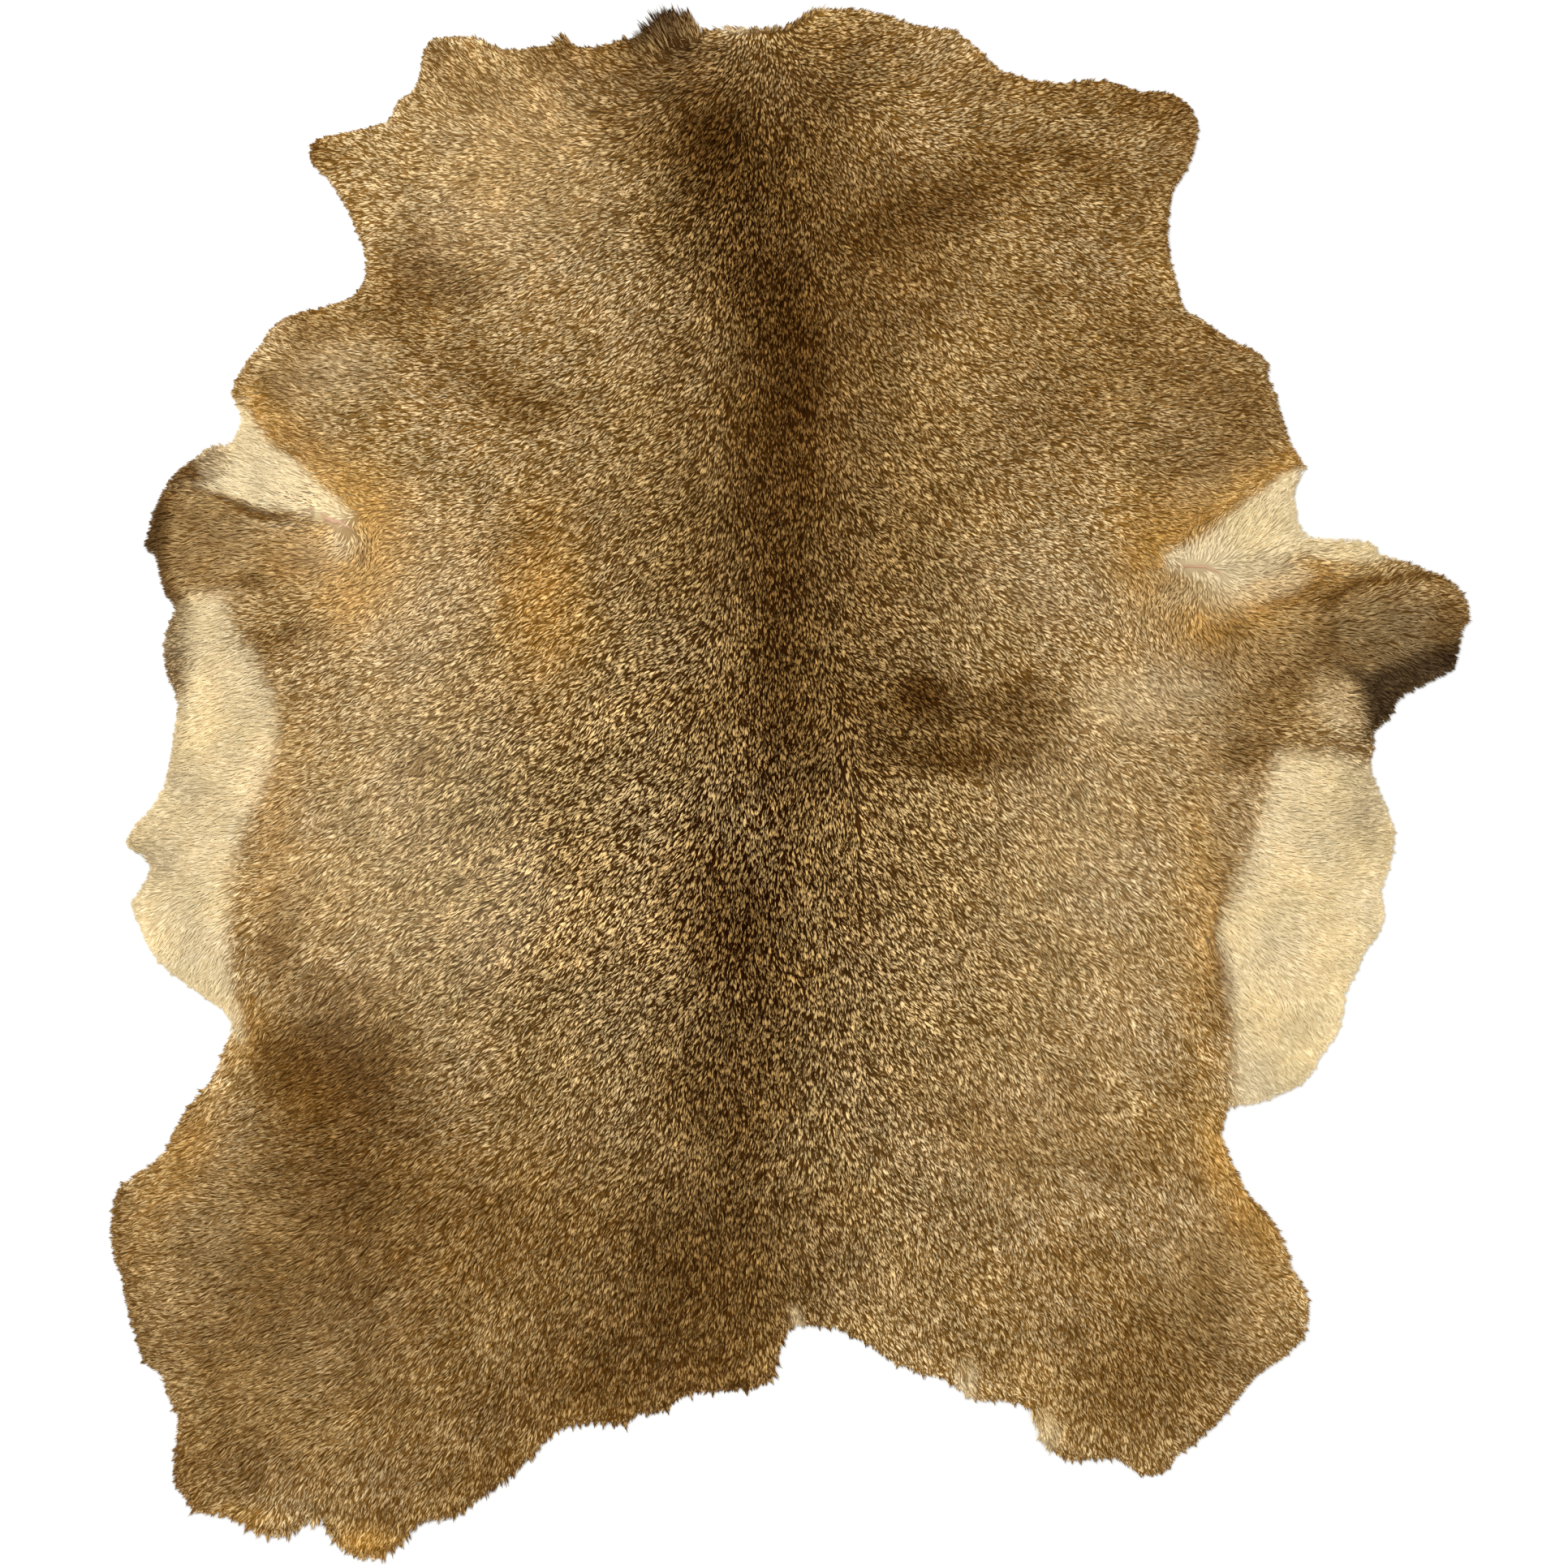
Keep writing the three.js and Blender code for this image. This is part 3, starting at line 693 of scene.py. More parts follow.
@functools.cache
def cut_edge():
    """The skin's cut edge: the ring where the solid's upright wall meets its coat, clockwise."""
    solid = bmesh.new()
    solid.from_mesh(HIDE.data)
    bmesh.ops.remove_doubles(solid, verts=solid.verts, dist=1e-6)
    solid.normal_update()
    links = {}
    for edge in solid.edges:
        tilts = sorted(abs(face.normal.z) for face in edge.link_faces)
        low = min(vert.co.z for vert in edge.verts)
        if len(tilts) == 2 and tilts[0] < UPRIGHT and tilts[1] > LYING and low > WALL_TOP * MM:
            one, other = edge.verts
            links.setdefault(one.index, []).append(other.index)
            links.setdefault(other.index, []).append(one.index)
    solid.verts.ensure_lookup_table()
    start = max(links, key=lambda i: solid.verts[i].co.y)
    ring, last = [start], None
    while True:
        onward = [i for i in links[ring[-1]] if i != last]
        last = ring[-1]
        if not onward or onward[0] == start:
            break
        ring.append(onward[0])
    if len(ring) < 0.95 * len(links):
        raise RuntimeError("the cut edge is broken")
    points = np.array([solid.verts[i].co.xy for i in ring]) / MM
    solid.free()
    kept = simplified(points, EDGE_SLACK)
    return kept[::-1] if area_within(kept) > 0 else kept


def simplified(ring, slack):
    """A ring without the points that lie on the line between the points kept before and after."""
    kept = [ring[0]]
    for point, after in zip(ring[1:], np.roll(ring, -2, axis=0)):
        side = after - kept[-1]
        reach = point - kept[-1]
        off = abs(side[0] * reach[1] - side[1] * reach[0]) / max(np.linalg.norm(side), 1e-6)
        if off > slack:
            kept.append(point)
    return np.array(kept)


def depth_inside(points, ring=None):
    """How far each point lies inside a ring, the cut edge unless told, negative outside it."""
    start = cut_edge() if ring is None else ring
    side = np.roll(start, -1, axis=0) - start
    long = np.maximum((side**2).sum(axis=1), 1e-6)
    depths = np.empty(len(points))
    for part in batches(points, 8000):
        gap = points[part, None, :] - start[None, :, :]
        share = np.clip((gap * side).sum(axis=-1) / long, 0, 1)
        near = np.linalg.norm(gap - share[..., None] * side, axis=-1).min(axis=1)
        y = points[part, None, 1]
        above = (start[:, 1] > y) != (np.roll(start, -1, 0)[:, 1] > y)
        rise = np.where(np.abs(side[:, 1]) < 1e-9, 1e-9, side[:, 1])
        crossing = start[:, 0] + gap[..., 1] * side[:, 0] / rise
        inside = (above & (points[part, None, 0] < crossing)).sum(axis=1) % 2 == 1
        depths[part] = np.where(inside, near, -near)
    return depths


@functools.cache
def coat_grid():
    """Heights of the solid's upper surface on a grid, with the cells outside filled from within."""
    solid = BVHTree.FromPolygons(
        [v.co.copy() for v in HIDE.data.vertices], [tuple(p.vertices) for p in HIDE.data.polygons]
    )
    low = np.array(CAD_BOX[0][:2]) / MM - 3 * COAT_CELL
    high = np.array(CAD_BOX[1][:2]) / MM + 3 * COAT_CELL
    count = np.ceil((high - low) / COAT_CELL).astype(int) + 1
    heights = np.full(count, np.nan)
    for i, j in np.ndindex(*count):
        x, y = (low + COAT_CELL * np.array([i, j])) * MM
        hit = solid.ray_cast(Vector((x, y, RAY_START * MM)), Vector((0, 0, -1)))[0]
        if hit and hit.z > LEAST_COAT * MM:
            heights[i, j] = hit.z / MM
    while np.isnan(heights).any():
        known = ~np.isnan(heights)
        padded = np.pad(heights, 1, constant_values=np.nan)
        around = np.stack([padded[2:, 1:-1], padded[:-2, 1:-1], padded[1:-1, 2:], padded[1:-1, :-2]])
        counts = (~np.isnan(around)).sum(axis=0)
        sums = np.nansum(around, axis=0)
        heights = np.where(known | (counts == 0), heights, sums / np.maximum(counts, 1))
    return low, heights


def coat_height(points):
    """Height of the coat's surface over the floor."""
    low, heights = coat_grid()
    return on_grid(heights, (points - low) / COAT_CELL)


def combed(points):
    """The way that the hair lies at each point, as unit vectors."""
    rows = np.array([row for part in COMB.values() for row in part], float)
    way = unit(nearby(points, rows[:, :2], headings(rows[:, 2]), 4))
    for parting in PARTINGS:
        gap = path_gap(points, parting["path"])
        way = turned(way, parting["turn"] * np.sign(gap) * np.exp(-((gap / parting["reach"]) ** 2)))
    return way


def hair_at(points):
    """Length, width and reach of the hair at each point."""
    rows = np.array([row[1:] for row in HAIR], float)
    return nearby(points, rows[:, :2], rows[:, 2:], 3).T


def oval_layer(points, x, y, wide, high, amount, turn=0, soft=1.0):
    """A layer of pigment: its amount, and how fully its oval covers each point."""
    along = headings(turn)
    local = points - (x, y)
    across = local @ along / wide
    up = local @ np.array([-along[1], along[0]]) / high
    return amount, 1 - smooth(np.hypot(across, up), 1 - soft, 1)


def laid(layers):
    """A pigment's share from its layers, each an amount and its cover."""
    free, deep = 1.0, 0.0
    for amount, cover in layers:
        free = free * (1 - min(amount, 1) * cover)
        deep = deep + max(amount - 1, 0) * cover
    return 1 - free + deep


def pigments(points):
    """The share of each pigment at each point, with edges as uneven as a coat's."""
    drift = np.zeros(points.shape)
    for cell, salts, size in EDGE_DRIFT:
        drift += size * np.stack([waves(points, cell, salt) for salt in salts], axis=-1)
    shares = {}
    for name, regions in PIGMENT.items():
        layers = [oval_layer(points + drift, *oval) for ovals in regions.values() for oval in ovals]
        for _, soft, amount, outline in PATCHES.get(name, ()):
            depth = depth_inside(points + PATCH_DRIFT * drift, np.array(outline, float))
            layers.append((amount, smooth(depth, -soft, soft)))
        shares[name] = laid(layers)
    cloud = sum(share * waves(points, cell, salt) for cell, salt, share in MOTTLE)
    shares["dark"] = np.clip(shares["dark"] + cloud * (1 - shares["cream"]), 0, MOST_DARK)
    return shares


def path_gap(points, path):
    """How far each point lies from a path, negative on the path's right."""
    nearest = np.full(len(points), np.inf)
    for start, end in zip(path, path[1:]):
        side = np.array(end, float) - start
        reach = points - start
        share = np.clip(reach @ side / (side @ side), 0, 1)
        gap = np.linalg.norm(reach - share[:, None] * side, axis=-1)
        gap = np.where(side[0] * reach[:, 1] < side[1] * reach[:, 0], -gap, gap)
        nearest = np.where(np.abs(gap) < np.abs(nearest), gap, nearest)
    return nearest


def place(mesh, name):
    """An object for a finished mesh, riding on the hide."""
    piece = bpy.data.objects.new(name, mesh)
    bpy.context.scene.collection.objects.link(piece)
    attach(piece, "root")
    return piece


def thicken(piece, thickness, offset):
    """Give the selected sheet a thickness, below it at an offset of -1 and above it at 1."""
    body = piece.modifiers.new("Thickness", "SOLIDIFY")
    body.thickness = thickness
    body.offset = offset
    bpy.ops.object.modifier_apply(modifier=body.name)


def select_only(piece):
    for other in bpy.context.scene.objects:
        other.select_set(False)
    piece.select_set(True)
    bpy.context.view_layer.objects.active = piece


def lay_locks(name, locks, material):
    """One piece of closed four-sided locks, each a root, a left and a right corner and a tip."""
    count = len(locks["root"])
    across = np.stack([-locks["heading"][:, 1], locks["heading"][:, 0]], axis=-1)
    tips = locks["root"] + locks["heading"] * locks["length"][:, None]
    waist = WAIST * tips + (1 - WAIST) * locks["root"]
    ridge = WAIST * locks["tip_z"] + (1 - WAIST) * locks["root_z"]
    sunk = np.maximum(ridge - LOCK_CAMBER * locks["width"], LEAST_HEIGHT)
    half = across * locks["width"][:, None] / 2
    corners = np.empty((count, 4, 3))
    corners[:, 0, :2], corners[:, 0, 2] = locks["root"], locks["root_z"]
    corners[:, 1, :2], corners[:, 1, 2] = waist + half, sunk
    corners[:, 2, :2], corners[:, 2, 2] = waist - half, sunk
    corners[:, 3, :2], corners[:, 3, 2] = tips, locks["tip_z"]
    faces = np.array([(0, 2, 3), (0, 3, 1), (0, 1, 2), (3, 2, 1)])
    loops = (faces[None] + 4 * np.arange(count)[:, None, None]).ravel()

    mesh = bpy.data.meshes.new(name)
    mesh.vertices.add(4 * count)
    mesh.vertices.foreach_set("co", (corners * MM).ravel())
    mesh.loops.add(12 * count)
    mesh.loops.foreach_set("vertex_index", loops)
    mesh.polygons.add(4 * count)
    mesh.polygons.foreach_set("loop_start", np.arange(0, 12 * count, 3))
    mesh.polygons.foreach_set("use_smooth", np.zeros(4 * count, bool))
    mesh.update(calc_edges=True)
    give(mesh, "along", np.tile([0, WAIST, WAIST, 1], count))
    give(mesh, "across", np.tile([0, -1, 1, 0], count))
    for key in ("tone", "light", "plain", *PIGMENT_ORDER):
        give(mesh, key, np.repeat(locks[key], 4))
    map_locks(mesh, count, loops)
    mesh.materials.append(material)
    piece = place(mesh, name)
    return piece


def give(mesh, name, values):
    """A value for each point of a mesh."""
    mesh.attributes.new(name, "FLOAT", "POINT").data.foreach_set("value", values.astype(np.float32))


def map_locks(mesh, count, loops):
    """A UV map with a cell of its own for each lock, three times as tall as it is wide."""
    columns = math.ceil(math.sqrt(3 * count))
    rows = math.ceil(count / columns)
    cell = np.array([1 / columns, 1 / rows])
    number = np.arange(count)
    corner = np.stack([number % columns, number // columns], axis=-1) * cell
    within = np.array([(0.5, 0.06), (0.08, WAIST), (0.92, WAIST), (0.5, 0.94)])
    places = (corner[:, None, :] + within[None] * cell).reshape(-1, 2)
    mesh.uv_layers.new(name="OFBake").data.foreach_set("uv", places[loops].astype(np.float32).ravel())


def grow(roots, depth, random):
    """Locks of the body's coat from their roots."""
    count = len(roots)
    way = combed(roots)
    turn = random.normal(0, STRAY, count)
    for cell, degrees, salt in HEADING_DRIFT:
        turn += degrees * waves(roots, cell, salt)
    heading = turned(way, turn)
    length, width, reach = hair_at(roots)
    length = length * random.uniform(*LENGTHS, count)
    width = width * random.uniform(*WIDTHS, count)
    tip_depth = depth_inside(roots + heading * length[:, None])
    least = -reach * random.uniform(*REACHES, count)
    share = (depth - least) / np.maximum(depth - tip_depth, 1e-3)
    length = np.where(tip_depth < least, length * np.clip(share, LEAST_LENGTH, 1), length)
    tips = roots + heading * length[:, None]
    tip_depth = np.maximum(tip_depth, least)
    tone = random.uniform(0, 1, count)
    height = coat_height(tips) * random.uniform(*TIP_HEIGHTS, count) + TONE_LIFT * (tone - 0.5)
    height = np.where(tip_depth < 0, np.maximum(height + RIM_FALL * tip_depth, LEAST_TIP), height)
    locks = {
        "root": roots,
        "heading": heading,
        "length": length,
        "width": width,
        "root_z": ROOT_HEIGHT[0] + ROOT_HEIGHT[1] * coat_height(roots),
        "tip_z": height,
        "tone": tone,
    }
    locks.update(pigments(roots + COLOUR_AT * heading * length[:, None]))
    locks["light"] = lock_light(roots + CLUMP_AT * heading * length[:, None], locks, random)
    return locks


def lock_light(points, shares, random):
    """How light each lock is beside its neighbours: each for itself, and in clumps."""
    spread = random.uniform(-LOCK_CONTRAST, LOCK_CONTRAST, len(points))
    spread += sum(share * waves(points, cell, salt) for cell, salt, share in CLUMPS)
    banded_dark = np.minimum(shares["dark"], 1) * (1 - shares["plain"])
    strong = 1 + CREAM_CONTRAST * shares["cream"] + DARK_CONTRAST * banded_dark
    return (1 + spread * strong) * (1 + shares["pale"])


def body_roots(count, random):
    """Roots spread evenly over the skin, and their depths inside the cut edge."""
    ring = cut_edge()
    low, high = ring.min(axis=0), ring.max(axis=0)
    pitch = math.sqrt(abs(area_within(ring)) / count)
    columns, rows = np.ceil((high - low) / pitch).astype(int)
    grid = np.stack(np.meshgrid(np.arange(columns), np.arange(rows), indexing="ij"), -1).reshape(-1, 2)
    roots = low + (grid + random.uniform(0, 1, grid.shape)) * pitch
    depth = depth_inside(roots)
    inside = depth > ROOT_INSET
    bare = np.zeros(len(roots), bool)
    for fold in BARE_FOLDS.values():
        gap = np.abs(path_gap(roots, fold["path"]))
        bare |= gap < fold["width"] * random.uniform(*FOLD_BARE, len(roots))
    kept = inside & ~bare
    return roots[kept], depth[kept]


def rim_locks(pitch, tuft, random):
    """Locks along the cut edge, gathered into pointed tufts that reach past it."""
    ring = cut_edge()
    side = np.roll(ring, -1, axis=0) - ring
    long = np.linalg.norm(side, axis=1)
    total = long.sum()
    stations = np.arange(0, total, pitch) + random.uniform(0, pitch, math.ceil(total / pitch))
    ends = np.cumsum(long)
    number = np.minimum(np.searchsorted(ends, stations), len(ring) - 1)
    share = (stations - (ends - long)[number]) / long[number]
    on_edge = ring[number] + share[:, None] * side[number]
    outward = unit(np.stack([-side[:, 1], side[:, 0]], -1))
    around = [np.interp(stations, ends - long / 2, outward[:, k], period=total) for k in (0, 1)]
    outward = unit(np.stack(around, -1))

    widths = random.uniform(*TUFT_WIDTHS, int(2 * total / tuft)) * tuft
    bounds = np.concatenate([[0], np.cumsum(widths)])
    which = np.searchsorted(bounds, stations) - 1
    within = 2 * (stations - bounds[which]) / widths[which] - 1
    fullness = random.uniform(*TUFT_FULLNESS, len(widths))[which]

    way = combed(on_edge)
    _, width, reach = hair_at(on_edge)
    depth = random.uniform(*RIM_DEPTHS, len(stations))
    roots = on_edge - outward * depth[:, None]
    aim = unit(outward * RIM_OUTWARD + way + RIM_STRAY * random.normal(0, 1, way.shape))
    across = np.stack([outward[:, 1], -outward[:, 0]], -1)
    pull = across * (-RIM_PULL * within * widths[which] / 2)[:, None]
    past = reach * fullness * (RIM_MIDDLE - RIM_SIDES * np.abs(within))
    past = past * random.uniform(*RIM_REACHES, len(stations))
    run = (depth + past) / np.clip((aim * outward).sum(axis=1), RIM_LEAST_SLANT, 1)
    tips = roots + aim * np.minimum(run, RIM_LONGEST)[:, None] + pull
    reach_vector = tips - roots
    locks = {
        "root": roots,
        "heading": unit(reach_vector),
        "length": np.linalg.norm(reach_vector, axis=1),
        "width": width * random.uniform(*RIM_WIDTHS, len(stations)),
        "root_z": random.uniform(*RIM_ROOTS, len(stations)),
        "tip_z": random.uniform(*RIM_TIPS, len(stations)),
        "tone": random.uniform(0, 1, len(stations)),
    }
    locks.update(pigments(roots))
    # painted shade along the rim
    for pigment, (more, most) in RIM_PAINTED_SHADE.items():
        locks[pigment] = np.clip(locks[pigment] + more, 0, most)
    locks["light"] = lock_light(roots, locks, random)
    return locks


def tuft_locks(random):
    """Locks of the tufts that stand out from the rim."""
    parts = []
    for _, x, y, heading, length, spread, count in TUFTS:
        way = headings(heading)
        across = np.array([-way[1], way[0]])
        within = random.uniform(-1, 1, count)
        roots = np.array([x, y]) + across * (within * spread / 2)[:, None]
        roots += way * random.uniform(*TUFT_ROOTS, count)[:, None] * length
        fan = headings(heading + TUFT_FAN * within + random.normal(0, TUFT_STRAY, count))
        reach = length * (1 - TUFT_SIDES * np.abs(within)) * random.uniform(*TUFT_LENGTHS, count)
        parts.append((roots, fan, reach))
    roots, fan, reach = (np.concatenate(part) for part in zip(*parts))
    locks = {
        "root": roots,
        "heading": fan,
        "length": reach,
        "width": random.uniform(*TUFT_LOCKS, len(roots)),
        "root_z": TUFT_ROOT_HEIGHT * coat_height(roots),
        "tip_z": coat_height(roots + fan * reach[:, None]) * random.uniform(*TUFT_TIPS, len(roots)),
        "tone": random.uniform(0, 1, len(roots)),
    }
    locks.update(pigments(roots))
    locks["light"] = lock_light(roots, locks, random)
    return locks


class Bench:
    """Lays nodes into one node tree."""

    def __init__(self, tree):
        self.tree = tree
        self.column = 0

    def add(self, kind, inputs=(), **settings):
        node = self.tree.nodes.new(kind)
        self.column += 1
        node.location = (180 * self.column, -60 * (self.column % 5))
        for name, value in settings.items():
            setattr(node, name, value)
        for key, value in dict(inputs).items():
            self.feed(node.inputs[key], value)
        return node

    def feed(self, socket, value):
        if isinstance(value, bpy.types.NodeSocket):
            self.tree.links.new(value, socket)
        elif socket.type == "RGBA":
            socket.default_value = (*value, 1)
        else:
            socket.default_value = value

    def mix(self, share, first, second, blend="MIX"):
        node = self.add("ShaderNodeMix", data_type="RGBA", blend_type=blend)
        for index, value in ((0, share), (6, first), (7, second)):
            self.feed(node.inputs[index], value)
        return node.outputs[2]

    def rise(self, value, low, high, start=0.0, end=1.0):
        ends = {"Value": value, "From Min": low, "From Max": high, "To Min": start, "To Max": end}
        node = self.add("ShaderNodeMapRange", ends, interpolation_type="SMOOTHSTEP")
        return node.outputs["Result"]

    def math(self, operation, first, second=0.0, third=0.0):
        node = self.add("ShaderNodeMath", {0: first, 1: second, 2: third}, operation=operation)
        return node.outputs[0]

    def times(self, first, second):
        return self.math("MULTIPLY", first, second)

    def line(self, value, slope, start):
        """A value times a slope, from a start."""
        return self.math("MULTIPLY_ADD", value, slope, start)

    def apart(self, value, middle, half):
        """How far a value lies from a middle, in halves."""
        return self.math("DIVIDE", self.math("SUBTRACT", value, middle), half)

    def noise(self, place, scale, detail=2.0, roughness=0.5):
        inputs = {"Vector": place, "Scale": scale, "Detail": detail, "Roughness": roughness}
        return self.add("ShaderNodeTexNoise", inputs).outputs["Fac"]

    def here(self):
        return self.add("ShaderNodeTexCoord").outputs["Object"]

    def value_of(self, attribute):
        return self.add("ShaderNodeAttribute", attribute_name=attribute).outputs["Fac"]


LOCK_VALUES = ("along", "across", "tone", "light", "plain")
PARTS = ("ground", "band")

# A lock shows two strands or one, by its tone, and each strand draws its own numbers from that tone.
SPLIT_STRETCH = 7.7
STRAND_DRAWS = ((17.31, 0.371), (43.7, 0.617), (91.3, 0.229))  # stretch of the tone, step to the second

# The pale band of a strand, in lengths of the lock along it and half widths across it.
BAND = {
    "middle": (0.32, 0.42),  # range and start
    "half_length": 0.27,
    "side": 0.42,
    "half_width": 0.5,
    "solid": 0.72,  # share of the band before its edge fades
    "draws": (0.3, 0.5),  # strands that draw less have no band, those that draw more a full one
    "mean": 0.38,  # what plain hair shows of it
}
PLAIN_FAINTER = -0.75  # change of the band's contrast where the hair is plain
CREAM_EVENER = -0.6  # change of the strands' contrast where the hair is cream
STRAND_LIGHT = (-0.16, 0.15)
PATCH_LIGHT = (0.91, 1.09)
# Painted shade: the hair is darker towards its roots, where the locks would shade each other.
ROOT_PAINTED_SHADE = (0.32, 0.52)  # what cream adds at the root, and the lightness there without it
CASTS = ((0.99, 1.0, 1.03), (1.01, 1.0, 0.94))  # cooler and warmer areas of the coat


@functools.cache
def coat_colour_group():
    """The colour of hair: its pigments by place, its pale band, the difference of each lock, and a painted
    shade towards its roots.
    """
    tree = bpy.data.node_groups.new("Coat colour", "ShaderNodeTree")
    sockets = tree.interface
    for name in (*LOCK_VALUES, *PIGMENT_ORDER):
        sockets.new_socket(name=name, in_out="INPUT", socket_type="NodeSocketFloat")
    names = [f"{pigment}_{part}" for pigment in PIGMENT_ORDER for part in PARTS if pigment != "dark"]
    for name in (*PARTS, *names, "dark_tint"):
        sockets.new_socket(name=name, in_out="INPUT", socket_type="NodeSocketColor")
    sockets.new_socket(name="colour", in_out="OUTPUT", socket_type="NodeSocketColor")
    bench = Bench(tree)
    given = bench.add("NodeGroupInput").outputs
    tint = bench.add("ShaderNodeGamma", {"Color": given["dark_tint"], "Gamma": given["dark"]}).outputs[0]
    shades = {}
    for part in PARTS:
        shade = given[part]
        for pigment in PIGMENT_ORDER:
            if pigment == "dark":
                shade = bench.mix(1.0, shade, tint, "MULTIPLY")
            else:
                shade = bench.mix(given[pigment], shade, given[f"{pigment}_{part}"])
        shades[part] = shade
    draw = bench.math("FRACT", bench.times(given["tone"], SPLIT_STRETCH))
    split = bench.math("GREATER_THAN", draw, 0.5)
    side = bench.times(split, bench.math("GREATER_THAN", given["across"], 0))
    first, second, third = (
        bench.math("FRACT", bench.line(given["tone"], stretch, bench.times(side, step)))
        for stretch, step in STRAND_DRAWS
    )
    far = bench.apart(given["along"], bench.line(first, *BAND["middle"]), BAND["half_length"])
    wide = bench.apart(bench.math("ABSOLUTE", given["across"]), BAND["side"], BAND["half_width"])
    edge = bench.math("SQRT", bench.line(far, far, bench.times(wide, wide)))
    within = bench.rise(edge, BAND["solid"], 1.0, 1.0, 0.0)
    banded = bench.times(within, bench.rise(second, *BAND["draws"]))
    clear = bench.line(given["plain"], PLAIN_FAINTER, 1.0)
    banded = bench.line(bench.math("SUBTRACT", banded, BAND["mean"]), clear, BAND["mean"])
    hair = bench.mix(banded, shades["ground"], shades["band"])

    even = bench.line(given["cream"], CREAM_EVENER, 1.0)
    strand_light = bench.line(bench.rise(third, 0, 1, *STRAND_LIGHT), even, 1.0)
    patch_light = bench.rise(bench.noise(bench.here(), 22, 3), 0.3, 0.7, *PATCH_LIGHT)
    # painted shade: darker towards the roots of the locks
    painted_root_shade = bench.rise(given["along"], 0.0, 0.5, bench.line(given["cream"], *ROOT_PAINTED_SHADE), 1.0)
    light = given["light"]
    for factor in (strand_light, patch_light, painted_root_shade):
        light = bench.times(light, factor)
    white = bench.add("ShaderNodeCombineColor", {0: light, 1: light, 2: light}).outputs[0]
    cast = bench.mix(bench.rise(bench.noise(bench.here(), 13, 3), 0.35, 0.65), *CASTS)
    colour = bench.mix(1.0, bench.mix(1.0, hair, white, "MULTIPLY"), cast, "MULTIPLY")
    bench.add("NodeGroupOutput", {"colour": colour})
    return tree


# Leather. deep: its deeper tone, as shares of its colour.
LEATHER_DEEP = (0.72, 0.64, 0.55)
FUZZ_SCALE = 0.35  # beside the scale of its pores
PORE_DEPTH = 0.35  # beside the height of its fuzz


@functools.cache
def leather_grain_group():
    """Fine grain and soft unevenness of leather: a height, and a mask for its tone."""
    tree = bpy.data.node_groups.new("Leather grain", "ShaderNodeTree")
    tree.interface.new_socket(name="scale", in_out="INPUT", socket_type="NodeSocketFloat")
    tree.interface.new_socket(name="height", in_out="OUTPUT", socket_type="NodeSocketFloat")
    tree.interface.new_socket(name="tone", in_out="OUTPUT", socket_type="NodeSocketFloat")
    bench = Bench(tree)
    scale = bench.add("NodeGroupInput").outputs["scale"]
    here = bench.here()
    pores = bench.add("ShaderNodeTexVoronoi", {"Vector": here, "Scale": scale}).outputs["Distance"]
    fuzz = bench.noise(here, bench.times(scale, FUZZ_SCALE), 6, 0.65)
    height = bench.line(pores, PORE_DEPTH, fuzz)
    tone = bench.noise(here, 9, 5, 0.6)
    bench.add("NodeGroupOutput", {"height": height, "tone": tone})
    return tree


def new_material(name):
    material = bpy.data.materials.new(name)
    material.use_nodes = True
    material.node_tree.nodes.clear()
    return material, Bench(material.node_tree)


def add_shader(bench, colour, roughness, specular, **more):
    """The shader of a material, and its output."""
    look = {"Base Color": colour, "Roughness": roughness, "Specular IOR Level": specular, **more}
    shader = bench.add("ShaderNodeBsdfPrincipled", look)
    bench.add("ShaderNodeOutputMaterial", {"Surface": shader.outputs[0]})


def add_coat_colour(bench, names, **fixed):
    """The colour of hair in a material, from the mesh's values of these names and from fixed ones."""
    colours = bpy.context.scene.hide_colours
    group = bench.add("ShaderNodeGroup", fixed, node_tree=coat_colour_group())
    for name in names:
        bench.feed(group.inputs[name], bench.value_of(name))
    for socket in group.inputs:
        if socket.type == "RGBA":
            socket.default_value = (*getattr(colours, socket.name), 1)
    return group.outputs["colour"]


@functools.cache
def coat_material():
    """Lying guard hair: pale-banded over the back, plain on the belly."""
    material, bench = new_material("Coat")
    colour = add_coat_colour(bench, (*LOCK_VALUES, *PIGMENT_ORDER))
    add_shader(bench, colour, roughness=0.6, specular=0.015)
    return material


@functools.cache
def underfur_material():
    """Soft dark wool between the guard hairs."""
    material, bench = new_material("Underfur")
    colour = add_coat_colour(bench, PIGMENT_ORDER, along=0.45, across=1, light=0.9)
    wool = bench.noise(bench.here(), 900, 4, 0.7)
    bump = bench.add("ShaderNodeBump", {"Height": wool, "Strength": 0.7, "Distance": 0.8 * MM})
    add_shader(bench, colour, roughness=0.9, specular=0.1, Normal=bump.outputs[0])
    return material


def leather_material(name, colour, scale, roughness, depth):
    """Tanned skin: bare grain or suede, mottled and finely uneven."""
    material, bench = new_material(name)
    grain = bench.add("ShaderNodeGroup", {"scale": scale}, node_tree=leather_grain_group())
    deep = tuple(value * share for value, share in zip(colour, LEATHER_DEEP))
    tone = bench.rise(grain.outputs["tone"], 0.35, 0.68)
    bump = bench.add("ShaderNodeBump", {"Height": grain.outputs["height"], "Distance": depth * MM})
    add_shader(bench, bench.mix(tone, deep, colour), roughness, specular=0.25, Normal=bump.outputs[0])
    return material


